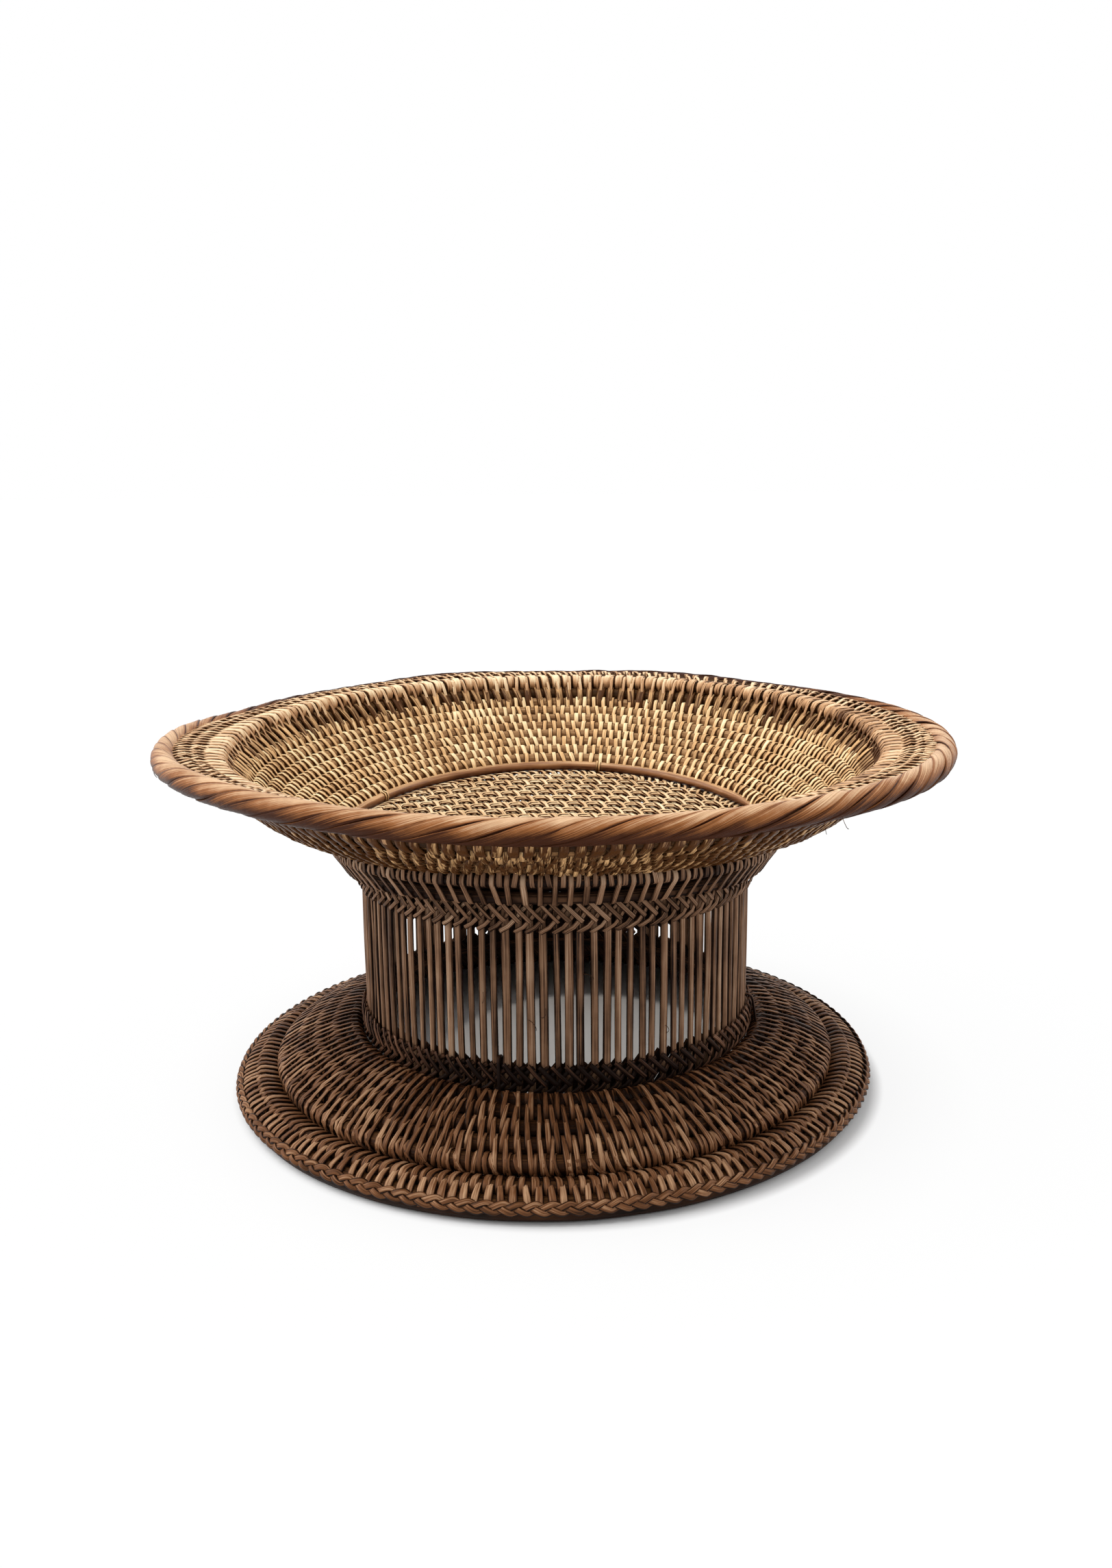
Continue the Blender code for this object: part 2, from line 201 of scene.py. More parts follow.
def settled(points: Array) -> Array:
    """Lowers points of the bowl as its cane has settled.

    The floor and the wall sag at their left and right. The wall and ledge drop towards the bead,
    most of all at the front, and the rim carries their outer edge.

    Args:
        points: points of the bowl, not settled.

    Returns:
        The settled points.
    """
    radius = np.hypot(points[..., 0], points[..., 1])
    spread = np.maximum(radius, HOOP.radius)
    rise = eased((points[..., 2] - HOOP.height) / (BEAD.height - HOOP.height))
    inside = (radius - HOOP.radius) / (WALL_END.radius - HOOP.radius)
    outside = (RIM.radius - radius) / (RIM.radius - BEAD.radius)
    share = np.clip(np.minimum(inside, outside), 0, 1)
    lowered = points.copy()
    lowered[..., 2] -= BOWL_SAG * (1 - rise) * (points[..., 0] / spread) ** 2
    lowered[..., 2] -= share * (BEAD_DROP - BEAD_TILT * points[..., 1] / spread)
    hollow = np.sin(np.pi * np.clip(inside, 0, 1) ** WALL_SAG_SKEW)
    lowered[..., 2] -= WALL_SAG * hollow * (points[..., 0] / spread) ** 2
    near_hoop = np.clip((points[..., 2] - UPPER_COIL.height + HOOP_FADE) / HOOP_FADE, 0, 1)
    lowered[..., 2] -= HOOP_DROP * near_hoop * (1 - np.clip(inside, 0, 1))
    # The ledge stands higher over most of the back, from the bead almost to the rim.
    back = np.clip(points[..., 1] / spread * 1.6, 0, 1)
    lowered[..., 2] += LEDGE_LIFT * back * np.clip(outside * 3, 0, 1) * np.clip(rise * 8 - 7, 0, 1)
    outward = (radius - WALL_END.radius) / (RIM.radius - WALL_END.radius)
    return bent_rim(lowered, np.clip(outward, 0, 1))


def sunk(points: Array) -> Array:
    """Settles points of the openwork, whose upper coil has sunk down and in at its left and right.

    Args:
        points: points of the openwork, not settled.

    Returns:
        The settled points.
    """
    radius = np.hypot(points[..., 0], points[..., 1])
    share = np.clip((radius - LOWER_COIL.radius) / (UPPER_COIL.radius - LOWER_COIL.radius), 0, 1)
    share = share * np.clip((WALL_START.height - points[..., 2]) / COIL_FADE, 0, 1)
    share = share * (points[..., 0] / radius) ** 2
    moved = points.copy()
    moved[..., 2] -= COIL_SAG * share
    moved[..., :2] *= (1 - COIL_DRAWN_IN * share / radius)[..., None]
    return settled(moved)


def out_of_round(points: Array) -> Array:
    """Shifts points of the foot, which is wound a little oval and wider at its left front.

    Args:
        points: points of the foot, wound truly round.

    Returns:
        The shifted points.
    """
    radius = np.hypot(points[..., 0], points[..., 1])
    azimuth = np.arctan2(points[..., 1], points[..., 0]) - FOOT_BULGE_SIDE
    share = np.clip((radius - DOME_START.radius) / (EDGE.radius - DOME_START.radius), 0, 1)
    stray = share * (FOOT_OVAL * np.cos(2 * azimuth) + FOOT_BULGE * np.cos(azimuth))
    shifted = points.copy()
    shifted[..., :2] *= (1 + stray / radius)[..., None]
    return shifted


def as_drawn(points: Array) -> Array:
    """Leaves points where they are: the shaping of the pieces that don't sag."""
    return points


def unit(vectors: Array) -> Array:
    """Scales vectors to a length of 1."""
    return vectors / np.maximum(np.linalg.norm(vectors, axis=-1, keepdims=True), 1e-12)


def wander(rng: np.random.Generator, angle: Array, size: float, waves: int = 9) -> Array:
    """A smooth random drift that closes on itself once round.

    Args:
        rng: seeded random numbers.
        angle: where to read it, in radians.
        size: about how far it strays.
        waves: the most waves once round.

    Returns:
        The drift at each angle.
    """
    drift = np.zeros_like(angle)
    for wave in range(1, waves + 1):
        drift = drift + rng.normal() * np.sin(wave * angle + rng.uniform(0, TURN))
    return size * drift / math.sqrt(waves)


@dataclass(frozen=True)
class Form:
    """A length of cane, modelled once: where each corner sits in its section, and the faces."""

    ring: Array
    across: Array
    up: Array
    faces: list[tuple[int, ...]]
    corner_ring: Array
    rings: int
    closed: bool


def read_form(piece: bpy.types.Object, ring: Array, across: Array, up: Array, closed: bool) -> Form:
    """Reads a modelled length of cane and removes its object.

    Args:
        piece: the modelled object.
        ring: the ring of each corner along the length.
        across: its place across the width, from -0.5 to 0.5.
        up: its place through the thickness, from -0.5 to 0.5.
        closed: whether the length joins its own start.

    Returns:
        The form.
    """
    faces = [tuple(face.vertices) for face in piece.data.polygons]
    rings = int(ring.max()) + 1
    corner_ring = []
    for face in faces:
        steps = [int(ring[corner]) for corner in face]
        wraps = closed and max(steps) - min(steps) > 1
        corner_ring += [step + rings if wraps and step == 0 else step for step in steps]
    bpy.data.meshes.remove(piece.data)
    return Form(ring, across, up, faces, np.array(corner_ring), rings, closed)


def corners_of(piece: bpy.types.Object) -> Array:
    """Reads where the corners of an object's mesh are.

    Args:
        piece: the modelled object.

    Returns:
        The points, one to a row.
    """
    points = np.empty(len(piece.data.vertices) * 3)
    piece.data.vertices.foreach_get("co", points)
    return points.reshape(-1, 3)


def cut_lengths(piece: bpy.types.Object, number: int, along: Callable[[Vector], float]) -> None:
    """Cuts every edge that runs along a length of cane into equal parts.

    Args:
        piece: the modelled object.
        number: how many cuts each edge gets.
        along: tells how far along the cane a point is.
    """
    bpy.ops.object.mode_set(mode="EDIT")
    bpy.ops.mesh.select_mode(type="EDGE")
    bpy.ops.mesh.select_all(action="DESELECT")
    shape = bmesh.from_edit_mesh(piece.data)
    for edge in shape.edges:
        edge.select_set(abs(along(edge.verts[0].co) - along(edge.verts[1].co)) > 1e-5)
    bmesh.update_edit_mesh(piece.data)
    bpy.ops.mesh.subdivide(number_cuts=number)
    bpy.ops.object.mode_set(mode="OBJECT")


def modelled_bar(sides: int, cuts: tuple[int, ...]) -> Form:
    """Models a straight length of cane with two ends.

    Args:
        sides: sides of its section.
        cuts: cuts along it, each set made between those of the last.

    Returns:
        The form.
    """
    deselect_all()
    bpy.ops.mesh.primitive_cylinder_add(vertices=sides, radius=0.5, depth=1, rotation=(0, math.pi / 2, 0))
    bar = bpy.context.object
    bpy.ops.object.transform_apply(location=False, rotation=True, scale=False)
    for number in cuts:
        cut_lengths(bar, number, lambda point: point.x)
    points = corners_of(bar)
    segments = math.prod(number + 1 for number in cuts)
    ring = np.round((points[:, 0] + 0.5) * segments).astype(int)
    across = points[:, 1] / np.ptp(points[:, 1])
    up = points[:, 2] / np.ptp(points[:, 2])
    return read_form(bar, ring, across, up, False)


def modelled_ring(segments: int, sides: int, flatness: float = 1.0, cuts: int = 0) -> Form:
    """Models a length of cane that joins its own start.

    Args:
        segments: segments along it, up to 256.
        sides: sides of its section.
        flatness: 1 for a round section, less for one with a flatter back.
        cuts: cuts across each segment.

    Returns:
        The form.
    """
    deselect_all()
    bpy.ops.mesh.primitive_torus_add(
        major_segments=segments, minor_segments=sides, major_radius=1, minor_radius=0.1
    )
    torus = bpy.context.object
    if cuts:
        cut_lengths(torus, cuts, lambda point: math.atan2(point.y, point.x))
    segments *= cuts + 1
    points = corners_of(torus)
    spread = np.hypot(points[:, 0], points[:, 1])
    angle = np.arctan2(points[:, 1], points[:, 0]) % TURN
    ring = np.round(angle * segments / TURN).astype(int) % segments
    turn = np.arctan2(spread - 1, points[:, 2]) + (math.pi / sides if flatness < 1 else 0)
    across = np.cos(turn)
    up = np.sin(turn)
    across = np.sign(across) * np.abs(across) ** flatness
    up = np.sign(up) * np.abs(up) ** flatness
    return read_form(torus, ring, across / np.ptp(across), up / np.ptp(up), True)


def stitch_form() -> Form:
    """Models one stitch: a closed loop of thin split cane with a rounded back."""
    return modelled_ring(len(BELT_SHARES), 5, 0.8)


@dataclass
class Routes:
    """Where copies of a form run: middles and facings are (copy, ring, 3), sizes (copy, ring)."""

    middles: Array
    facing: Array
    width: Array
    thickness: Array
    tone: Array


@dataclass
class Batch:
    """Copies of one form as mesh data: the faces' corners and uv in one run, and the faces' sizes."""

    points: Array
    corners: Array
    uv: Array
    sizes: list[int]
    tones: Array


@dataclass
class CaneWork:
    """Lengths of cane that make one piece, gathered before its mesh is made."""

    name: str
    slot: str
    batches: list[Batch] = field(default_factory=list)

    def lay(self, form: Form, routes: Routes, shaping: Shaping = as_drawn) -> None:
        """Lays one copy of a form along each route.

        Args:
            form: the modelled length of cane.
            routes: where the copies run.
            shaping: what moves the finished points, such as the bowl's sag.
        """
        copies, rings, _ = routes.middles.shape
        middles = routes.middles
        if form.closed:
            tangent = np.roll(middles, -1, axis=1) - np.roll(middles, 1, axis=1)
            ends = np.concatenate((middles, middles[:, :1]), axis=1)
        else:
            tangent = np.gradient(middles, axis=1)
            ends = middles
        tangent = unit(tangent)
        side = unit(np.cross(routes.facing, tangent))
        facing = np.cross(tangent, side)
        steps = np.linalg.norm(np.diff(ends, axis=1), axis=-1)
        travelled = np.concatenate((np.zeros((copies, 1)), np.cumsum(steps, axis=1)), axis=1)
        width = np.broadcast_to(routes.width, (copies, rings))[:, form.ring, None]
        thickness = np.broadcast_to(routes.thickness, (copies, rings))[:, form.ring, None]
        points = middles[:, form.ring]
        points = points + side[:, form.ring] * form.across[:, None] * width
        points = points + facing[:, form.ring] * form.up[:, None] * thickness
        self.gather(form, shaping(points), travelled[:, form.corner_ring], routes.tone)

    def gather(self, form: Form, points: Array, along: Array, tone: Array) -> None:
        """Keeps the copies of a form for the piece's mesh.

        Args:
            form: the modelled length of cane.
            points: the corners of each copy.
            along: how far along its route each face corner is.
            tone: a number from 0 to 1 for each copy, or for each ring of it, which varies its colour.
        """
        copies, count, _ = points.shape
        flat_corners = np.concatenate([np.array(face) for face in form.faces])
        across = np.broadcast_to(form.across[flat_corners], along.shape)
        uv = np.stack((along, across), axis=-1).reshape(-1, 2)
        corners = (flat_corners[None, :] + count * np.arange(copies)[:, None]).ravel()
        sizes = [len(face) for face in form.faces] * copies
        tones = tone[:, form.ring].ravel() if tone.ndim == 2 else np.repeat(tone, count)
        self.batches.append(Batch(points.reshape(-1, 3), corners, uv, sizes, tones))

    def build(self, finish: "CaneFinish", *replaced: str) -> None:
        """Makes the piece's mesh, dresses it and puts it on the frame.

        Args:
            finish: what the piece is made of.
            replaced: the frame's nodes that it stands for.
        """
        first = np.cumsum([0] + [len(batch.points) for batch in self.batches])
        points = np.concatenate([batch.points for batch in self.batches])
        corners = np.concatenate([batch.corners + start for batch, start in zip(self.batches, first)])
        sizes = np.concatenate([batch.sizes for batch in self.batches])
        mesh = bpy.data.meshes.new(self.name)
        mesh.vertices.add(len(points))
        mesh.vertices.foreach_set("co", points.ravel().astype(np.float32))
        mesh.loops.add(len(corners))
        mesh.loops.foreach_set("vertex_index", corners.astype(np.int32))
        mesh.polygons.add(len(sizes))
        starts = np.concatenate(([0], np.cumsum(sizes)[:-1]))
        mesh.polygons.foreach_set("loop_start", starts.astype(np.int32))
        mesh.update(calc_edges=True)
        layer = mesh.uv_layers.new(name="cane")
        uv = np.concatenate([batch.uv for batch in self.batches])
        layer.data.foreach_set("uv", uv.ravel().astype(np.float32))
        tones = np.concatenate([batch.tones for batch in self.batches])
        mesh.attributes.new("tone", "FLOAT", "POINT").data.foreach_set("value", tones.astype(np.float32))
        mesh.shade_smooth()
        mesh.materials.append(finish.material())
        piece = bpy.data.objects.new(self.name, mesh)
        bpy.context.scene.collection.objects.link(piece)
        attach(piece, "root")
        if replaced:
            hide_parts(*replaced)
        log.info("%s: %d faces", self.name, len(sizes))


def node(
    tree: bpy.types.NodeTree, kind: str, settings: dict[str, object], links: dict[str | int, object]
) -> bpy.types.Node:
    """Adds a node with its settings and its inputs.

    Args:
        tree: the node tree.
        kind: the node's type.
        settings: properties to set on the node.
        links: input name or number to a socket to link, or to a value.

    Returns:
        The node.
    """
    added = tree.nodes.new(kind)
    for name, value in settings.items():
        setattr(added, name, value)
    for name, value in links.items():
        if isinstance(value, bpy.types.NodeSocket):
            tree.links.new(value, added.inputs[name])
        else:
            added.inputs[name].default_value = value
    return added


@dataclass(frozen=True)
class CaneFinish:
    """Rattan with its lengthwise fibres.

    Each length keeps the tone of the stem that it was peeled or split from. The fibres show as
    streaks along it, its edges are darker as painted shade, and the side turned up is paler as
    painted light from above. The shares say how much of the colour's range each of these takes,
    streaks is how many show across a width, and shade is painted shade: how much darker it gets
    between the two places along Y that shaded gives.
    """

    name: str
    deep: str
    middle: str
    pale: str
    roughness: float = 0.5
    streaks: float = 5.0
    streak_length: float = 0.012
    tone_share: float = 0.36
    fibre_share: float = 0.42
    patch_share: float = 0.22
    painted_edge_shade: float = 0.42
    painted_top_light: float = 0.20
    relief: float = 0.00012
    gloss: float = 0.08
    shade: float = 0.0
    shaded: tuple[float, float] = (0.01, 0.12)

    def material(self) -> bpy.types.Material:
        """Makes the material, once for all the pieces that have it.

        Returns:
            The material.
        """
        if self.name in bpy.data.materials:
            return bpy.data.materials[self.name]
        made = bpy.data.materials.new(self.name)
        made.use_nodes = True
        self.wire(made.node_tree)
        return made

    def fibres(self, tree: bpy.types.NodeTree) -> tuple[bpy.types.NodeSocket, bpy.types.NodeSocket]:
        """Adds the streaks along the cane.

        Args:
            tree: the node tree.

        Returns:
            The streaks, and how far across the cane a point lies.
        """
        uv = node(tree, "ShaderNodeUVMap", {"uv_map": "cane"}, {})
        tone = node(tree, "ShaderNodeAttribute", {"attribute_name": "tone"}, {})
        parts = node(tree, "ShaderNodeSeparateXYZ", {}, {0: uv.outputs["UV"]})
        # The tone, spread far out, gives each length a grain of its own.
        own = node(tree, "ShaderNodeMath", {"operation": "MULTIPLY"}, {0: tone.outputs["Fac"], 1: 61.0})
        place = node(
            tree,
            "ShaderNodeCombineXYZ",
            {},
            {0: parts.outputs["X"], 1: parts.outputs["Y"], 2: own.outputs[0]},
        )
        scaled = node(
            tree,
            "ShaderNodeVectorMath",
            {"operation": "MULTIPLY"},
            {0: place.outputs[0], 1: (1 / self.streak_length, self.streaks, 1.0)},
        )
        streaks = node(
            tree,
            "ShaderNodeTexNoise",
            {},
            {"Vector": scaled.outputs[0], "Scale": 1.0, "Detail": 2.5, "Roughness": 0.6},
        )
        return self.spread_out(tree, streaks), parts.outputs["Y"]

    def spread_out(self, tree: bpy.types.NodeTree, noise: bpy.types.Node) -> bpy.types.NodeSocket:
        """Spreads a noise, which keeps close to its middle, over the range from 0 to 1.

        Args:
            tree: the node tree.
            noise: the noise's node.

        Returns:
            The spread noise.
        """
        spread = node(
            tree,
            "ShaderNodeMapRange",
            {},
            {"Value": noise.outputs["Fac"], "From Min": 0.3, "From Max": 0.7},
        )
        return spread.outputs["Result"]

    def level(
        self, tree: bpy.types.NodeTree, streaks: bpy.types.NodeSocket, across: bpy.types.NodeSocket
    ) -> bpy.types.NodeSocket:
        """Adds up what makes the cane darker or paler, from 0 to 1.

        Args:
            tree: the node tree.
            streaks: the streaks along the cane.
            across: how far across the cane a point lies.

        Returns:
            The level.
        """
        tone = node(tree, "ShaderNodeAttribute", {"attribute_name": "tone"}, {})
        place = node(tree, "ShaderNodeTexCoord", {}, {})
        patches = node(
            tree,
            "ShaderNodeTexNoise",
            {},
            {"Vector": place.outputs["Object"], "Scale": 45.0, "Detail": 4.0, "Roughness": 0.6},
        )
        # Painted light: faces that point up are paler, as if lit from above, and faces that point down
        # darker.
        facing = node(tree, "ShaderNodeNewGeometry", {}, {})
        upward = node(tree, "ShaderNodeSeparateXYZ", {}, {0: facing.outputs["Normal"]})
        # Painted shade: the edges of each strip are darker, standing in for the shade between the strips.
        side = node(tree, "ShaderNodeMath", {"operation": "ABSOLUTE"}, {0: across})
        edge = node(
            tree,
            "ShaderNodeMapRange",
            {"interpolation_type": "SMOOTHSTEP"},
            {"Value": side.outputs[0], "From Min": 0.28, "From Max": 0.5, "To Max": -self.painted_edge_shade},
        )
        shares = (
            (tone.outputs["Fac"], self.tone_share),
            (streaks, self.fibre_share),
            (self.spread_out(tree, patches), self.patch_share),
            (upward.outputs["Z"], self.painted_top_light),
        )
        # Painted shade: darker between the two places along Y that shaded gives.
        depth = node(tree, "ShaderNodeSeparateXYZ", {}, {0: place.outputs["Object"]})
        darker = node(
            tree,
            "ShaderNodeMapRange",
            {},
            {
                "Value": depth.outputs["Y"],
                "From Min": self.shaded[0],
                "From Max": self.shaded[1],
                "To Max": -self.shade,
            },
        )
        painted_shading = node(
            tree,
            "ShaderNodeMath",
            {"operation": "ADD"},
            {0: edge.outputs["Result"], 1: darker.outputs["Result"]},
        )
        # Each source but the normal has its middle at a half, and the level is to have its own there.
        total = painted_shading.outputs[0]
        for source, share in shares:
            total = node(
                tree, "ShaderNodeMath", {"operation": "MULTIPLY_ADD"}, {0: source, 1: share, 2: total}
            ).outputs[0]
        middle = (self.tone_share + self.fibre_share + self.patch_share - 1) / 2 + self.painted_top_light * 0.45
        return node(tree, "ShaderNodeMath", {"operation": "SUBTRACT"}, {0: total, 1: middle}).outputs[0]

    def wire(self, tree: bpy.types.NodeTree) -> None:
        """Fills the material's node tree.

        Args:
            tree: the node tree, with its default shader.
        """
        shader = tree.nodes["Principled BSDF"]
        shader.inputs["Specular IOR Level"].default_value = self.gloss
        streaks, across = self.fibres(tree)
        ramp = node(tree, "ShaderNodeValToRGB", {}, {"Fac": self.level(tree, streaks, across)})
        ramp.color_ramp.elements[0].position = 0.12
        ramp.color_ramp.elements[0].color = linear_colour(self.deep)
        ramp.color_ramp.elements[1].position = 0.88
        ramp.color_ramp.elements[1].color = linear_colour(self.pale)
        ramp.color_ramp.elements.new(0.5).color = linear_colour(self.middle)
        tree.links.new(ramp.outputs["Color"], shader.inputs["Base Color"])
        worn = node(
            tree,
            "ShaderNodeMapRange",
            {},
            {"Value": streaks, "To Min": self.roughness - 0.1, "To Max": self.roughness + 0.12},
        )
        tree.links.new(worn.outputs["Result"], shader.inputs["Roughness"])
        bump = node(
            tree,
            "ShaderNodeBump",
            {},
            {"Height": streaks, "Strength": 0.7, "Distance": self.relief},
        )
        tree.links.new(bump.outputs["Normal"], shader.inputs["Normal"])


# Split rattan peel of the wall's stitches: tan, a little glossy, painted light on top, painted shade at
# edges.
WALL_PEEL = CaneFinish(
    "split_rattan_wall",
    "4E2E14",
    "E8B880",
    "FFF4C6",
    roughness=0.42,
    painted_edge_shade=0.5,
    painted_top_light=0.30,
)
# Split rattan peel of ledge and bead: the same gloss on a redder, duller tan,
# with painted light on top and painted shade at its edges.
LEDGE_PEEL = CaneFinish(
    "split_rattan_ledge",
    "4A2A12",
    "CE9E72",
    "FFE8BE",
    roughness=0.42,
    painted_edge_shade=0.45,
    painted_top_light=0.34,
)
# Round rattan under the wall's stitches: dry, dull brown that shows in the gaps between them.
WALL_ROD = CaneFinish(
    "round_rattan_wall",
    "3E2410",
    "946C46",
    "CAA478",
    roughness=0.6,
    streaks=14.0,
    painted_edge_shade=0.0,
)
# Round rattan under bead and ledge: dry, and darker than the wall's rod as painted shade, where little
# light gets in.
LEDGE_ROD = CaneFinish(
    "round_rattan_ledge",
    "180A04",
    "402812",
    "6C4C2E",
    roughness=0.6,
    streaks=14.0,
    painted_edge_shade=0.0,
)
# Bare cane hoop of the floor: peeled and polished by hands, with strong painted light on top.
HOOP_CANE = CaneFinish(
    "bare_cane_hoop",
    "4A240E",
    "93623A",
    "DCAE7C",
    roughness=0.34,
    streaks=7.0,
    streak_length=0.04,
    painted_edge_shade=0.0,
    painted_top_light=0.45,
    gloss=0.35,
)
# Broad split cane of the rim: the smooth outer skin with its fine grain, reddish brown, with painted light
# where it faces up, and painted shade where it faces down and all along the back.
RIM_CANE = CaneFinish(
    "broad_split_cane_rim",
    "3E1E0C",
    "9E6438",
    "E6C098",
    roughness=0.36,
    streaks=32.0,
    streak_length=0.05,
    tone_share=0.30,
    fibre_share=0.50,
    patch_share=0.30,
    painted_edge_shade=0.40,
    painted_top_light=0.50,
    shade=0.80,
)
# Thin split rattan of the open floor mat: pale strips, with painted shade at their edges.
MAT_PEEL = CaneFinish("split_rattan_mat", "56290C", "DEB686", "FFF2CC", painted_edge_shade=0.55)
# Split rattan of the neck and the lacing: smoked brown, with coarse fibres.
NECK_SPLIT = CaneFinish(
    "split_rattan_neck",
    "1E0E07",
    "8A664C",
    "C0A286",
    streaks=9.0,
    streak_length=0.04,
    fibre_share=0.56,
)
# Round rattan under the lacing and behind the bands: nearly black as painted shade, deep between the
# strips.
NECK_ROD = CaneFinish(
    "round_rattan_neck",
    "060201",
    "24130A",
    "6A4A34",
    roughness=0.6,
    streaks=16.0,
    streak_length=0.05,
    fibre_share=0.6,
    painted_edge_shade=0.0,
    relief=0.0003,
)
# Split rattan of the low band and its lashings: darker than the neck's as painted shade, darkest at the
# front.
SHADED_BAND_SPLIT = CaneFinish(
    "split_rattan_low_band",
    "160A05",
    "684632",
    "A8846A",
    streaks=7.0,
    streak_length=0.03,
    shade=0.30,
    shaded=(-0.055, -0.088),
)
# Split rattan peel of the foot: dark red brown, with painted light on top and painted shade at its edges.
FOOT_PEEL = CaneFinish("split_rattan_foot", "201006", "7A5033", "CEA47E", roughness=0.40, painted_edge_shade=0.5)
# Round rattan under the foot's stitches: streaked, very dark brown.
FOOT_ROD = CaneFinish(
    "round_rattan_foot",
    "0C0401",
    "341C0C",
    "6C4828",
    streaks=16.0,
    streak_length=0.03,
    painted_edge_shade=0.0,
    relief=0.0003,
)


@dataclass(frozen=True)
class Stitch:
    """How one kind of stitch is cut and drawn, in metres.

    lean is how far its second end is carried along the row, slack how far it stands off between
    the two rods, and taper what its second end gains in width, as a share. grip is how much of the
    row before it holds: all of that rod, or less where it is pushed between the rods.
    """

    width: float
    pitch: float
    thickness: float = 0.0008
    lean: float = 0.0
    slack: float = 0.0002
    taper: float = 0.15
    grip: float = 1.0


# A loop goes round the first rod, across, round the second and back: how far each point is across.
ARC_POINTS = 6
BELT_SHARES = np.array([0.0] * ARC_POINTS + [0.5] + [1.0] * ARC_POINTS + [0.5])


def belt(first: Array, second: Array, first_reach: Array, second_reach: Array) -> tuple[Array, Array]:
    """A closed loop drawn tight round two rods, seen in the plane of radius and height.

    Args:
        first: (radius, height) of the first rod's middle, for each copy.
        second: the same of the second rod.
        first_reach: how far the loop's middle lies from the first rod's middle.
        second_reach: the same at the second rod.

    Returns:
        The loop's points and the way it faces there, each (copy, ring, 2).
    """
    span = second - first
    length = np.maximum(np.linalg.norm(span, axis=-1), 1e-6)
    heading = np.arctan2(span[:, 1], span[:, 0])
    tangent = np.arccos(np.clip((first_reach - second_reach) / length, -1, 1))
    arc = np.linspace(0, 1, ARC_POINTS)
    first_turn = (heading + tangent)[:, None] + (TURN - 2 * tangent)[:, None] * arc
    second_turn = (heading - tangent)[:, None] + (2 * tangent)[:, None] * arc
    turns = np.concatenate((first_turn, second_turn[:, :1], second_turn, first_turn[:, :1]), axis=1)
    facing = np.stack((np.cos(turns), np.sin(turns)), axis=-1)
    share = BELT_SHARES[None, :, None]
    middle = first[:, None] * (1 - share) + second[:, None] * share
    reach = first_reach.reshape(-1, 1, 1) * (1 - share) + second_reach.reshape(-1, 1, 1) * share
    return middle + facing * reach, facing


@dataclass
class Stitcher:
    """Sews rows of rod together with one kind of stitch."""

    stitch: Stitch
    rng: np.random.Generator
    loop: Form

    def sew(
        self,
        work: CaneWork,
        azimuths: Array,
        first: HeldRod,
        second: HeldRod,
        shaping: Shaping = as_drawn,
        shade: Array | float = 0.0,
    ) -> None:
        """Sews a row of stitches, each a loop drawn round two rods.

        Args:
            work: the piece that the stitches belong to.
            azimuths: where the stitches stand.
            first: the first rod.
            second: the second rod.
            shaping: what moves the finished points.
            shade: how much darker the stitches are than the rest of their piece.
        """
        count = len(azimuths)
        rng = self.rng
        stitch = self.stitch
        thickness = stitch.thickness
        ends = [
            np.stack(np.broadcast_arrays(radius, height, azimuths), axis=-1)[:, :2]
            for radius, height, _ in (first, second)
        ]
        reaches = [np.full(count, rod + thickness / 2) for _, _, rod in (first, second)]
        loops, facing = belt(*ends, *reaches)
        # No two stitches are drawn or cut quite alike.
        bow = np.sin(np.pi * BELT_SHARES)[None, :, None]
        loops = loops + facing * bow * rng.uniform(0.3, 1.6, (count, 1, 1)) * stitch.slack
        lean = stitch.lean + rng.normal(0, 0.09, count) * stitch.pitch
        shift = rng.normal(0, 0.05, count) * stitch.pitch
        span = (ends[1] - ends[0])[:, None]
        across = ((loops - ends[0][:, None]) * span).sum(axis=-1) / (span**2).sum(axis=-1)
        radius = loops[..., 0]
        azimuth = azimuths[:, None] + (shift[:, None] + lean[:, None] * (across - 0.5)) / radius
        middles = around(radius, loops[..., 1], azimuth)
        facings = around(facing[..., 0], facing[..., 1], azimuth)
        taper = 1 + stitch.taper * (BELT_SHARES - 0.5)
        width = stitch.width * rng.uniform(0.85, 1.15, (count, 1)) * taper
        tone = rng.beta(1.8, 1.8, count) - shade
        work.lay(self.loop, Routes(middles, facings, width, np.full_like(width, thickness), tone), shaping)


def bricked(counts: list[int], rng: np.random.Generator) -> list[Array]:
    """Azimuths of the stitches row by row, each set between those of the row before.

    Where a row needs more stitches, two share a gap and their neighbours make room.

    Args:
        counts: stitches in each row, which never get fewer.
        rng: seeded random numbers.

    Returns:
        Sorted azimuths for each row.
    """
    azimuths = TURN * np.arange(counts[0]) / counts[0]
    rows = [azimuths]
    for count in counts[1:]:
        gaps = np.diff(np.append(azimuths, azimuths[0] + TURN))
        middles = azimuths + gaps / 2
        doubled = rng.choice(len(middles), count - len(middles), replace=False)
        middles[doubled] -= gaps[doubled] / 4
        azimuths = np.sort(np.concatenate((middles, middles[doubled] + gaps[doubled] / 2)))
        for _ in range(10):
            before = np.roll(azimuths, 1)
            before[0] -= TURN
            after = np.roll(azimuths, -1)
            after[-1] += TURN
            azimuths = azimuths + 0.5 * ((before + after) / 2 - azimuths)
        rows.append(azimuths)
    return rows


# A rod's cut end: its share of the full thickness, and how far into the row beside it, in rows.
TIP = 0.25
TUCK = 0.3


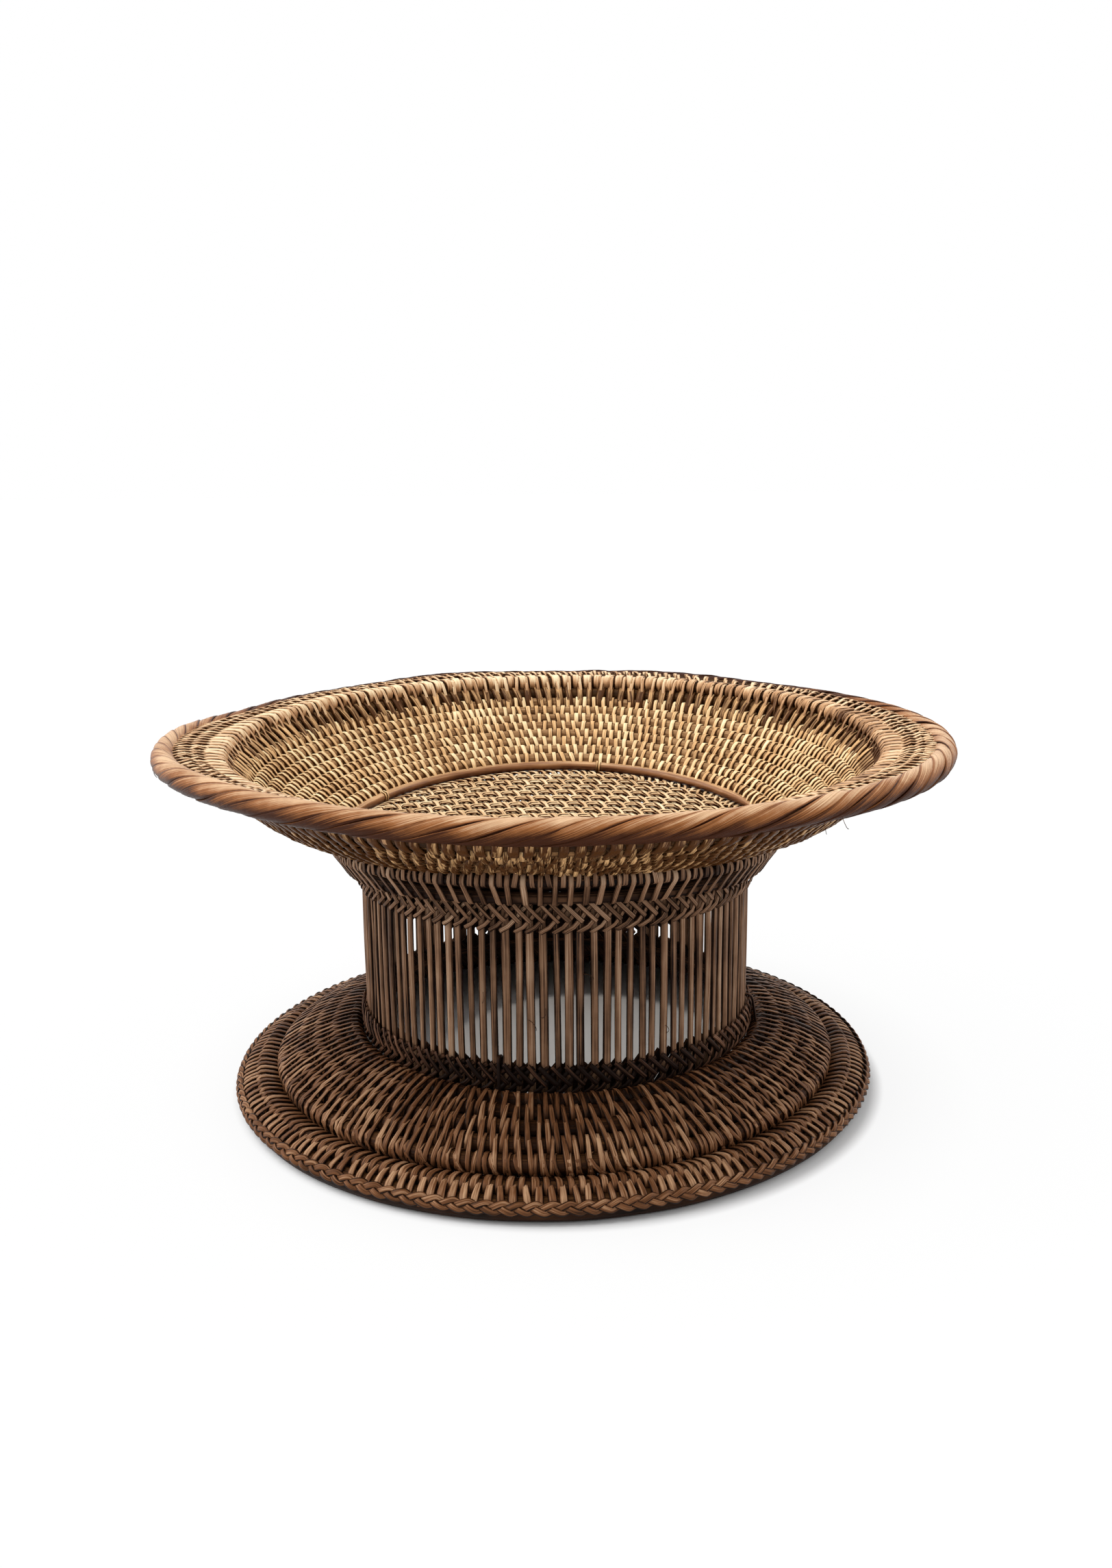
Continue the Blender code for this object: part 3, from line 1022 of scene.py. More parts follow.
@dataclass(frozen=True)
class Rows:
    """Rows of one rod, laid side by side from a start place.

    bulge is how far the middle rows stand out, shade is painted shade that darkens the first rows,
    and zone is the angle over which the rod steps out to the next row.
    """

    start: Place
    pitch: float
    slope: float
    turns: int
    rod: float
    start_azimuth: float
    bulge: float = 0.0
    shade: float = 0.0
    zone: float = math.radians(30)

    def place(self, row: Array | float) -> tuple[Array, Array]:
        """Tells where the rod runs.

        Args:
            row: the row, or a number between two rows where the rod steps from one to the other.

        Returns:
            Radius and height of the rod's middle.
        """
        share = row / (self.turns - 1)
        lift = self.bulge * 4 * share * (1 - share)
        radius = self.start.radius + row * self.pitch * math.cos(self.slope) - lift * math.sin(self.slope)
        height = self.start.height + row * self.pitch * math.sin(self.slope) + lift * math.cos(self.slope)
        return radius, height

    def tone_of(self, row: Array, tone: Array | float) -> Array:
        """The tone of cane in a row, darker in the first rows where the work is shaded."""
        return tone - self.shade * (1 - np.clip(row / (self.turns - 1), 0, 1))

    def row_at(self, azimuths: Array, turn: int) -> Array:
        """The row that the rod lies in at an azimuth of one turn: it steps out just before the start."""
        travelled = (azimuths - self.start_azimuth) % TURN
        return turn + eased((travelled - (TURN - self.zone)) / self.zone)


@dataclass
class CoiledWork:
    """Rows of rod sewn together: the bowl's wall and ledge, and the foot's dome and flange."""

    name: str
    slot: str
    rows: Rows
    stitch: Stitch
    peel: CaneFinish
    rod_finish: CaneFinish
    node_name: str
    shaping: Shaping = as_drawn
    seed: int = SEED

    def __post_init__(self) -> None:
        """Readies the random numbers and what gathers the stitches and their places."""
        self.rng = np.random.default_rng(self.seed)
        self.sewing = CaneWork(self.name + "_stitches", self.slot)
        self.stitcher = Stitcher(self.stitch, self.rng, stitch_form())
        self.azimuths: list[Array] = []

    def counts(self) -> list[int]:
        """Stitches in each row, from the first row to one past the last."""
        radii = [float(self.rows.place(row)[0]) for row in range(self.rows.turns + 1)]
        return [round(TURN * radius / self.stitch.pitch) for radius in radii]

    def rods(self) -> None:
        """The rod in its rows, with both ends tapered into the row beside them."""
        rows = self.rows
        waves = 99
        zone = rows.zone
        end = rows.turns * TURN
        form = modelled_bar(10, (rows.turns * 12 - 1, 9))
        travelled = np.linspace(-zone, end, form.rings)
        turn = np.clip(np.floor(travelled / TURN), 0, rows.turns - 1)
        shift = eased((travelled - turn * TURN - (TURN - zone)) / zone)
        row = np.where(travelled > end - zone, rows.turns - 1, turn + shift)
        fade_in = TIP + (1 - TIP) * eased((travelled + zone) / zone)
        fade_out = TIP + (1 - TIP) * eased((end - travelled) / zone)
        size = fade_in * fade_out
        row = row + (1 - fade_out) * TUCK - (1 - fade_in) * TUCK
        radius, height = rows.place(row)
        azimuth = rows.start_azimuth + travelled
        stray = wander(self.rng, travelled / rows.turns, 0.00012, waves)
        middles = around(radius + stray, height, azimuth)[None]
        thick = (2 * rows.rod * size * (1 + wander(self.rng, travelled / rows.turns, 0.02, waves)))[None]
        tone = rows.tone_of(row, 0.5)[None]
        work = CaneWork(self.name + "_rod", self.slot)
        work.lay(form, Routes(middles, upwards(azimuth)[None], thick, thick, tone), self.shaping)
        work.build(self.rod_finish, self.node_name)

    def stitches(self) -> None:
        """The stitches that bind each row to the one before it."""
        rows = self.rows
        self.azimuths = bricked(self.counts(), self.rng)
        for turn in range(1, rows.turns):
            azimuths = self.azimuths[turn]
            row = np.minimum(rows.row_at(azimuths, turn), rows.turns - 1)
            # Where it grips less than the whole rod before, its loop there is small and lies low.
            radius, height = rows.place(row - self.stitch.grip)
            slack = 1 - self.stitch.grip
            low = 2 * slack * rows.rod
            inner = radius + low * math.sin(rows.slope), height - low * math.cos(rows.slope)
            shade = 0.5 - rows.tone_of(row - 0.5, 0.5)
            ends = (*inner, rows.rod * (1 - 1.5 * slack)), (*rows.place(row), rows.rod)
            self.stitcher.sew(self.sewing, azimuths, *ends, self.shaping, shade)

    def bind(self, azimuths: Array, first: HeldRod, second: HeldRod, shade: float = 0.0) -> None:
        """Binds two whole loops of rod with this work's own stitches."""
        self.stitcher.sew(self.sewing, azimuths, first, second, self.shaping, shade)

    def sewn(self) -> None:
        """Makes the piece of all the stitches."""
        self.sewing.build(self.peel)


def hoop_of_rod(
    name: str,
    slot: str,
    place: Place,
    rod: float,
    finish: CaneFinish,
    rng: np.random.Generator,
    shaping: Shaping,
    *replaced: str,
) -> None:
    """Makes one closed loop of round cane.

    Args:
        name: the piece's name.
        slot: kept with the piece, but not used.
        place: where the loop's middle lies.
        rod: the cane's radius.
        finish: what it is made of.
        rng: seeded random numbers.
        shaping: what moves the finished points.
        replaced: the frame's node that it stands for.
    """
    form = modelled_ring(180, 10)
    azimuth = TURN * np.arange(form.rings) / form.rings
    radius = place.radius + wander(rng, azimuth, 0.0001)
    middles = around(radius, place.height, azimuth)[None]
    thick = (2 * rod * (1 + wander(rng, azimuth, 0.015, 24)))[None]
    tone = np.array([rng.uniform(0.3, 0.7)])
    work = CaneWork(name, slot)
    work.lay(form, Routes(middles, upwards(azimuth)[None], thick, thick, tone), shaping)
    work.build(finish, *replaced)


@dataclass
class Rim:
    """The thick rim: broad strips of split cane wound at a slant round a hidden core.

    Each strip lies on a roll of radius core and laps over the next: it is wider than its share of
    the roll, and its far edge stands higher. The rod in the middle is thinner than the roll.
    """

    place: Place = RIM
    core: float = 0.0040
    rod: float = 0.0026
    strips: int = 5
    twists: int = 13
    thickness: float = 0.0011
    lap: float = 1.06
    lap_rise: float = 0.0004

    def build(self) -> None:
        """Winds the strips round the core that they hide."""
        rng = np.random.default_rng(SEED + 11)
        form = modelled_ring(self.twists * 15, 14, cuts=1)
        work = CaneWork("rim_strips", "rim_cane")
        round_angle = TURN * np.arange(form.rings) / form.rings
        # The ring's round section, made flat with rounded edges.
        up = np.sign(form.up) * (2 * np.abs(form.up)) ** 0.4 / 2
        slant = math.atan(self.twists * self.core / self.place.radius)
        for strip in range(self.strips):
            wind = self.twists * round_angle + TURN * strip / self.strips
            wind = wind + wander(rng, round_angle, 0.10, 30)
            arc = TURN / self.strips * self.lap * (1 + wander(rng, round_angle, 0.07, 40))
            lift = wander(rng, round_angle, 0.00016, 60)
            minor = wind[form.ring] + form.across * arc[form.ring]
            reach = self.core + self.thickness * (up + 0.5)
            reach = reach + lift[form.ring] + form.across * self.lap_rise
            radius = self.place.radius + reach * np.cos(minor)
            height = self.place.height + reach * np.sin(minor)
            points = bent_rim(around(radius, height, round_angle[form.ring]))[None]
            along = form.corner_ring / form.rings * TURN * self.place.radius / math.cos(slant)
            work.gather(form, points, along[None], np.array([rng.uniform(0.3, 0.7)]))
        work.build(RIM_CANE, "rim_wrap")
        hoop_of_rod("rim_core_rod", "core_rod", self.place, self.rod, WALL_ROD, rng, bent_rim, "rim_core")


@dataclass
class Bowl:
    """The bowl's wall, bead and ledge.

    The wall's last turn lies hidden under the bead: last_rod, last_row and last_stitch are of it.
    """

    wall_turns: int = 8
    wall_pitch: float = 0.0064
    wall_slope: float = math.radians(30)
    wall_rod: float = 0.00306
    last_rod: float = 0.0032
    last_row: Place = Place(0.1484, 0.1575)
    last_stitch: Stitch = Stitch(0.0042, 0.0062, thickness=0.0009, lean=0.0006)
    ledge_turns: int = 3
    ledge_rod: float = 0.0022
    ledge_rise: float = 0.0010
    ledge_pitch: float = 0.0049
    bead_rod: float = 0.0042
    wrap: Stitch = Stitch(0.0053, 0.0062, thickness=0.0012, lean=0.0006)
    long_wrap: Stitch = Stitch(0.0023, 0.0062, thickness=0.0009, lean=0.0006)

    def wall(self) -> None:
        """Coils and sews the wall."""
        wall = CoiledWork(
            "wall",
            "wall_cane",
            Rows(WALL_START, self.wall_pitch, self.wall_slope, self.wall_turns, self.wall_rod, FRONT),
            Stitch(0.0025, 0.0051, thickness=0.0009, lean=0.0005, slack=0.0003, grip=0.8),
            WALL_PEEL,
            WALL_ROD,
            "wall_coil",
            settled,
            SEED + 1,
        )
        wall.rods()
        wall.stitches()
        below = WALL_START.away(0.0038, self.wall_slope + math.pi)
        wall.bind(wall.azimuths[0], below.held(0.0017), WALL_START.held(self.wall_rod))
        wall.sewn()

    def ledge(self, inner: Place) -> None:
        """Coils and sews the ledge.

        Args:
            inner: its first row.
        """
        ledge = CoiledWork(
            "ledge",
            "ledge_cane",
            Rows(inner, self.ledge_pitch, 0.0, self.ledge_turns, self.ledge_rod, FRONT),
            Stitch(0.0019, 0.0058, thickness=0.0011, lean=0.0020, slack=0.0005),
            LEDGE_PEEL,
            LEDGE_ROD,
            "ledge_coil",
            settled,
            SEED + 2,
        )
        ledge.rods()
        ledge.stitches()
        outer = inner.away((self.ledge_turns - 1) * self.ledge_pitch, 0.0)
        ledge.bind(ledge.azimuths[-1], outer.held(self.ledge_rod), outer.away(0.0042, -0.3).held(0.0016))
        ledge.sewn()

    def bead(self, rng: np.random.Generator, inner: Place) -> None:
        """The bead: a thick rod, wrapped with the ledge's first row, and below it the wall's last turn.

        A narrow wrap between each two of the broad ones goes down to the wall's last turn.

        Args:
            rng: seeded random numbers.
            inner: the ledge's first row.
        """
        work = CaneWork("bead_wraps", "ledge_cane")
        stitcher = Stitcher(self.wrap, rng, stitch_form())
        narrow = Stitcher(self.long_wrap, rng, stitch_form())
        count = round(TURN * BEAD.radius / self.wrap.pitch)
        azimuths = TURN * np.arange(count) / count
        rod = self.bead_rod - self.wrap.thickness
        bead = BEAD.held(rod)
        wall = self.last_row.held(self.last_rod)
        ledge = Place(inner.radius, inner.height - 0.0004).held(self.ledge_rod - 0.0004)
        # Painted shade darkens the wraps at the right and painted light makes them paler at the back;
        # the narrow ones get a little more painted shade.
        right = np.cos(azimuths)
        back = np.clip(np.sin(azimuths), 0, 1)
        shade = 0.55 * np.clip(right, -0.2, 1) - 0.25 * back
        narrow.sew(work, azimuths, wall, bead, settled, shade + 0.1)
        stitcher.sew(work, azimuths + math.pi / count, bead, ledge, settled, shade)
        work.build(LEDGE_PEEL)
        # The wall's last stitches get painted shade, as they lie in the bead's shade, most of all at the
        # back and the sides.
        hidden = 0.35 + 0.6 * back + 0.3 * np.abs(right)
        top = WALL_START.away((self.wall_turns - 1) * self.wall_pitch, self.wall_slope)
        last = Stitcher(self.last_stitch, rng, stitch_form())
        shaded = CaneWork("wall_last_stitches", "wall_cane")
        last.sew(shaded, azimuths, top.held(self.wall_rod), wall, settled, hidden)
        shaded.build(WALL_PEEL)
        hoop_of_rod("bead_rod", "ledge_cane", BEAD, rod, LEDGE_ROD, rng, settled, "bead")

    def build(self) -> None:
        """Builds the bowl from the floor outwards."""
        rng = np.random.default_rng(SEED + 3)
        self.wall()
        # The wall's last turn takes the ledge's darker rod finish, as painted shade under the bead.
        hoop_of_rod("wall_last_rod", "wall_cane", self.last_row, self.last_rod, LEDGE_ROD, rng, settled)
        inner = Place(LEDGE.radius, LEDGE.height + self.ledge_rise)
        self.ledge(inner)
        self.bead(rng, inner)


@dataclass
class FloorHoop:
    """The bare cane hoop that holds the floor's edge down, scarfed at the right, and its lashings.

    At the scarf the hoop's second end lies outside the first and below it.
    """

    rod: float = 0.0026
    scarf: float = math.radians(9)
    overlap: float = math.radians(24)
    scarf_out: float = 0.0021
    scarf_down: float = 0.0012
    tie_angles: tuple[float, ...] = (2, 76, 151, 210, 285)

    def build(self) -> None:
        """Lays the hoop and ties it."""
        rng = np.random.default_rng(SEED + 4)
        form = modelled_bar(12, (15, 11))
        travelled = np.linspace(0, TURN + self.overlap, form.rings)
        # Both ends are cut thin, and the second goes under the first.
        under = eased((travelled - TURN + 0.15) / 0.25)
        head = 0.25 + 0.75 * eased(travelled / 0.22)
        tail = 0.3 + 0.7 * eased((TURN + self.overlap - travelled) / 0.2)
        radius = HOOP.radius + self.scarf_out * under + wander(rng, travelled, 0.00015)
        height = HOOP.height - self.scarf_down * under + 0.0004 * (1 - head)
        azimuth = self.scarf + travelled
        middles = around(radius, height, azimuth)[None]
        width = (2 * self.rod * head * tail)[None]
        work = CaneWork("floor_hoop_cane", "bare_rod")
        work.lay(form, Routes(middles, upwards(azimuth)[None], width, width, np.array([0.5])), settled)
        work.build(HOOP_CANE, "floor_hoop")
        self.ties(rng)

    def ties(self, rng: np.random.Generator) -> None:
        """Lashes the hoop, at each place with two loops of split cane side by side.

        Args:
            rng: seeded random numbers.
        """
        work = CaneWork("hoop_lashings", "wall_cane")
        stitcher = Stitcher(Stitch(0.0013, 0.004, thickness=0.0007, lean=0.0004), rng, stitch_form())
        centres = np.radians(np.array(self.tie_angles))
        azimuths = np.concatenate((centres, centres + 0.0016 / HOOP.radius))
        outer = Place(HOOP.radius + 0.003, HOOP.height - 0.0015)
        stitcher.sew(work, azimuths, HOOP.held(self.rod), outer.held(self.rod - 0.0004), settled)
        work.build(WALL_PEEL, *[f"hoop_tie_{number}" for number in range(1, len(self.tie_angles) + 1)])


@dataclass
class FloorMat:
    """The open mat of the floor: slanted strips that pass over one pair in three of cross strands."""

    radius: float = 0.0975
    warp_spacing: float = 0.00313
    warp_slope: float = 0.33
    weft_spacing: float = 0.0124
    strip: float = 0.0023
    strip_thickness: float = 0.0010
    strand: float = 0.0027
    strand_thickness: float = 0.0009
    wave: float = 0.0010
    edge_loops: int = 130
    edge_radii: tuple[float, float] = (0.0940, 0.0968)

    def over(self, warp: Array, row: Array) -> Array:
        """Whether a warp lies over a pair: 1 over, -1 under, for whole numbers of warp and row."""
        return np.where((warp + row) % 3 == 0, 1.0, -1.0)

    def lay_flat(
        self,
        work: CaneWork,
        form: Form,
        middles: Array,
        width: Array,
        thickness: float,
        tone: Array,
    ) -> None:
        """Lays strips with their backs up.

        Args:
            work: the piece that the strips belong to.
            form: the modelled length of cane.
            middles: the points that they run through.
            width: their widths.
            thickness: their thickness.
            tone: the tone of each.
        """
        facing = np.zeros_like(middles)
        facing[..., 2] = 1
        work.lay(form, Routes(middles, facing, width, np.array([[thickness]]), tone), settled)

    def warps(self, work: CaneWork, rng: np.random.Generator) -> None:
        """Lays the slanted strips, each waving over one pair of cross strands and under two.

        Args:
            work: the piece that the strips belong to.
            rng: seeded random numbers.
        """
        form = modelled_bar(6, (8, 7))
        reach = int(self.radius * math.hypot(1, self.warp_slope) / self.warp_spacing)
        number = np.arange(-reach, reach + 1)
        offset = number * self.warp_spacing
        slope = self.warp_slope
        # The strip x = offset - slope * y meets the floor's round at the two ends of this span of y.
        middle = slope * offset / (1 + slope**2)
        half = np.sqrt(np.maximum(self.radius**2 * (1 + slope**2) - offset**2, 0)) / (1 + slope**2)
        keep = half > 0.004
        number, offset, middle, half = number[keep], offset[keep], middle[keep], half[keep]
        y = middle[:, None] + half[:, None] * np.linspace(-1, 1, form.rings)
        x = offset[:, None] - slope * y + wander(rng, y * 40, 0.0002)
        place = y / self.weft_spacing
        below = np.floor(place)
        share = eased((place - below - 0.2) / 0.6)
        warp = number[:, None]
        level = (1 - share) * self.over(warp, below) + share * self.over(warp, below + 1)
        middles = np.stack((x, y, FLOOR_MIDDLE + self.wave * level), axis=-1)
        width = self.strip * rng.uniform(0.85, 1.1, (len(number), 1))
        self.lay_flat(work, form, middles, width, self.strip_thickness, rng.beta(2, 2, len(number)))

    def wefts(self, work: CaneWork, rng: np.random.Generator) -> None:
        """Lays the cross strands in pairs, over two warps and under one.

        Args:
            work: the piece that the strands belong to.
            rng: seeded random numbers.
        """
        form = modelled_bar(6, (12, 11))
        reach = int(self.radius / self.weft_spacing)
        for row in range(-reach, reach + 1):
            for side in (-1, 1):
                y_middle = row * self.weft_spacing + side * self.strand * 0.56
                if abs(y_middle) > self.radius - 0.003:
                    continue
                half = math.sqrt(self.radius**2 - y_middle**2)
                x = np.linspace(-half, half, form.rings)
                place = (x + self.warp_slope * y_middle) / self.warp_spacing
                below = np.floor(place)
                share = eased((place - below - 0.15) / 0.7)
                level = (1 - share) * -self.over(below, row) + share * -self.over(below + 1, row)
                y = y_middle + 0.0004 * side * level + wander(rng, x * 50, 0.00015)
                middles = np.stack((x, y, FLOOR_MIDDLE + self.wave * level), axis=-1)[None]
                width = np.array([[self.strand * rng.uniform(0.85, 1.1)]])
                tone = np.array([rng.beta(2, 2)])
                self.lay_flat(work, form, middles, width, self.strand_thickness, tone)

    def edge(self, work: CaneWork, rng: np.random.Generator) -> None:
        """Ends the mat under the hoop with a row of small slanted loops.

        Args:
            work: the piece that the loops belong to.
            rng: seeded random numbers.
        """
        azimuths = TURN * np.arange(self.edge_loops) / self.edge_loops
        stitcher = Stitcher(Stitch(0.0021, 0.0046, thickness=0.0007, lean=0.0022), rng, stitch_form())
        inner, outer = [Place(radius, FLOOR_MIDDLE + 0.0002).held(0.0010) for radius in self.edge_radii]
        stitcher.sew(work, azimuths, inner, outer, settled)

    def build(self) -> None:
        """Weaves the mat."""
        rng = np.random.default_rng(SEED + 5)
        work = CaneWork("floor_weave", "mat_cane")
        self.warps(work, rng)
        self.wefts(work, rng)
        self.edge(work, rng)
        work.build(MAT_PEEL, "floor_mat")


@dataclass
class Openwork:
    """The coils between neck and bowl, held by long stitches with gaps between them."""

    rod: float = 0.0027
    top_rod: float = 0.0031
    count: int = 106

    def build(self) -> None:
        """Makes the three coils and the long stitches."""
        rng = np.random.default_rng(SEED + 6)
        for name, place, rod in (
            ("upper_coil", UPPER_COIL, self.rod),
            ("lower_coil", LOWER_COIL, self.rod),
            ("top_coil", TOP_COIL, self.top_rod),
        ):
            hoop_of_rod(name + "_cane", "neck_cane", place, rod, NECK_ROD, rng, sunk, name)
        work = CaneWork("openwork_stitches", "neck_cane")
        stitch = Stitch(0.0025, 0.0042, thickness=0.0006, slack=0.0001, taper=0.1)
        stitcher = Stitcher(stitch, rng, stitch_form())
        azimuths = TURN * (np.arange(self.count) + 0.5) / self.count
        upper = UPPER_COIL.held(self.rod)
        # The short loops pass under the wall's first row and don't show inside the bowl.
        start = Place(WALL_START.radius + 0.0012, WALL_START.height - 0.0019).held(0.0016)
        stitcher.sew(work, azimuths, upper, LOWER_COIL.held(self.rod), sunk, -0.35)
        stitcher.sew(work, azimuths + math.pi / self.count, start, upper, sunk)
        work.build(NECK_SPLIT, "lacing")


@dataclass
class HerringboneBand:
    """A plaited band round the splints: long arms that fall to the right over short arms below.

    foot is the height of its lower edge, apex the share of its height where the arms meet, arm
    their width, and lining the width of the cane behind them that closes the gaps, nearly black as
    painted shade.
    """

    name: str
    node_name: str
    foot: float
    height: float
    count: int = 108
    apex: float = 0.38
    arm: float = 0.0021
    lining: float = 0.0046
    finish: CaneFinish = NECK_SPLIT

    def arms(
        self,
        work: CaneWork,
        rng: np.random.Generator,
        route: list[tuple[float, float, float]],
        width: float,
    ) -> None:
        """Lays one arm at each splint.

        Args:
            work: the piece that the arms belong to.
            rng: seeded random numbers.
            route: distance round the band, height and distance from the axis along one arm.
            width: the arm's width.
        """
        form = modelled_bar(6, (9,))
        share = np.linspace(0, 1, form.rings)
        steps = np.linspace(0, 1, len(route))
        run, height, radius = [np.interp(share, steps, sizes) for sizes in zip(*route)]
        size = (self.count, 1)
        azimuths = TURN * np.arange(self.count) / self.count
        azimuths = azimuths + rng.normal(0, 0.0003, self.count) / radius[0]
        azimuth = azimuths[:, None] + run / radius
        tilt = rng.normal(0, 0.0003, size) * (share - 0.5)
        middles = around(radius + rng.normal(0, 0.0001, size), height + tilt, azimuth)
        facing = outwards(azimuth + rng.normal(0, 0.12, size))
        widths = width * rng.uniform(0.85, 1.15, size)
        tone = rng.beta(1.6, 1.6, self.count)
        work.lay(form, Routes(middles, facing, widths, np.full_like(widths, 0.0007), tone))

    def build(self) -> None:
        """Plaits the band."""
        rng = np.random.default_rng(SEED + 20 + int(self.foot * 1000))
        work = CaneWork(self.name, "neck_cane")
        pitch = TURN * NECK_RADIUS / self.count
        foot = self.foot
        apex = foot + self.apex * self.height
        top = foot + self.height
        fall = top - apex
        # How far from the axis an arm lies: behind the splints, between them, under or over others.
        inside, deep, low, high = [NECK_RADIUS + step for step in (-0.0027, 0.0002, 0.0012, 0.0023)]
        long_arm = [
            (-fall * 0.95, top, low),
            (-fall * 0.6, top - fall * 0.38, high),
            (0.0, apex, high),
            (0.0006, apex - 0.0006, high - 0.0004),
        ]
        self.arms(work, rng, long_arm, self.arm)
        short_arm = [
            (-pitch * 1.25, foot - 0.0004, deep),
            (-pitch * 1.15, foot + 0.0004, high - 0.0006),
            (-pitch * 0.5, (foot + apex) / 2, high),
            (0.0, apex + 0.0002, high - 0.0006),
            (pitch * 0.6, (apex + top) / 2, low - 0.0004),
            (pitch * 1.3, top - 0.001, deep),
        ]
        self.arms(work, rng, short_arm, self.arm)
        work.build(self.finish, self.node_name)
        # The cane behind the splints is nearly black, as painted shade.
        behind = [(-self.height / 2, foot - 0.002, inside), (self.height / 2, top, inside)]
        lining = CaneWork(self.name + "_back", "neck_cane")
        self.arms(lining, rng, behind, self.lining)
        lining.build(NECK_ROD)


@dataclass
class Neck:
    """The open neck: upright splints, each cut by hand, between two plaited bands."""

    count: int = 108
    foot: float = 0.0245
    top: float = 0.1172
    width: float = 0.0034
    thickness: float = 0.0019
    inner_hoop: Place = Place(0.0873, 0.0320)
    inner_rod: float = 0.0020

    def splints(self) -> None:
        """The splints, with their own widths, leans and bows."""
        rng = np.random.default_rng(SEED + 8)
        form = modelled_bar(6, (13,))
        share = np.linspace(0, 1, form.rings)
        height = self.foot + (self.top - self.foot) * share
        size = (self.count, 1)
        slip = rng.normal(0, 0.00025, size) + rng.normal(0, 0.0005, size) * (share - 0.5)
        slip = slip + rng.normal(0, 0.0003, size) * np.sin(np.pi * share)
        azimuth = TURN * np.arange(self.count)[:, None] / self.count + slip / NECK_RADIUS
        bow = rng.normal(0, 0.00025, size) * np.sin(np.pi * share) ** 2
        middles = around(NECK_RADIUS - self.thickness / 2 + bow, height, azimuth)
        facing = outwards(azimuth + rng.normal(0, 0.16, size))
        width = self.width * rng.uniform(0.8, 1.2, size)
        width = width * (1 + 0.06 * rng.normal(size=size) * (share - 0.5))
        tone = 0.2 + 0.8 * rng.beta(1.6, 1.6, self.count)
        work = CaneWork("neck_splints", "neck_cane")
        work.lay(form, Routes(middles, facing, width, np.full_like(width, self.thickness), tone))
        work.build(NECK_SPLIT, "splints")

    def build(self) -> None:
        """Builds the neck."""
        self.splints()
        upper = HerringboneBand("upper_band_plait", "upper_band", foot=0.0985, height=0.0136)
        upper.build()
        # The lower band takes the darker split rattan, as painted shade under the bowl.
        lower = HerringboneBand(
            "lower_band_plait", "lower_band", foot=0.0265, height=0.0128, apex=0.40, finish=SHADED_BAND_SPLIT
        )
        lower.build()
        rng = np.random.default_rng(SEED + 9)
        place, rod = self.inner_hoop, self.inner_rod
        hoop_of_rod("inner_hoop_cane", "neck_cane", place, rod, NECK_ROD, rng, as_drawn, "inner_hoop")


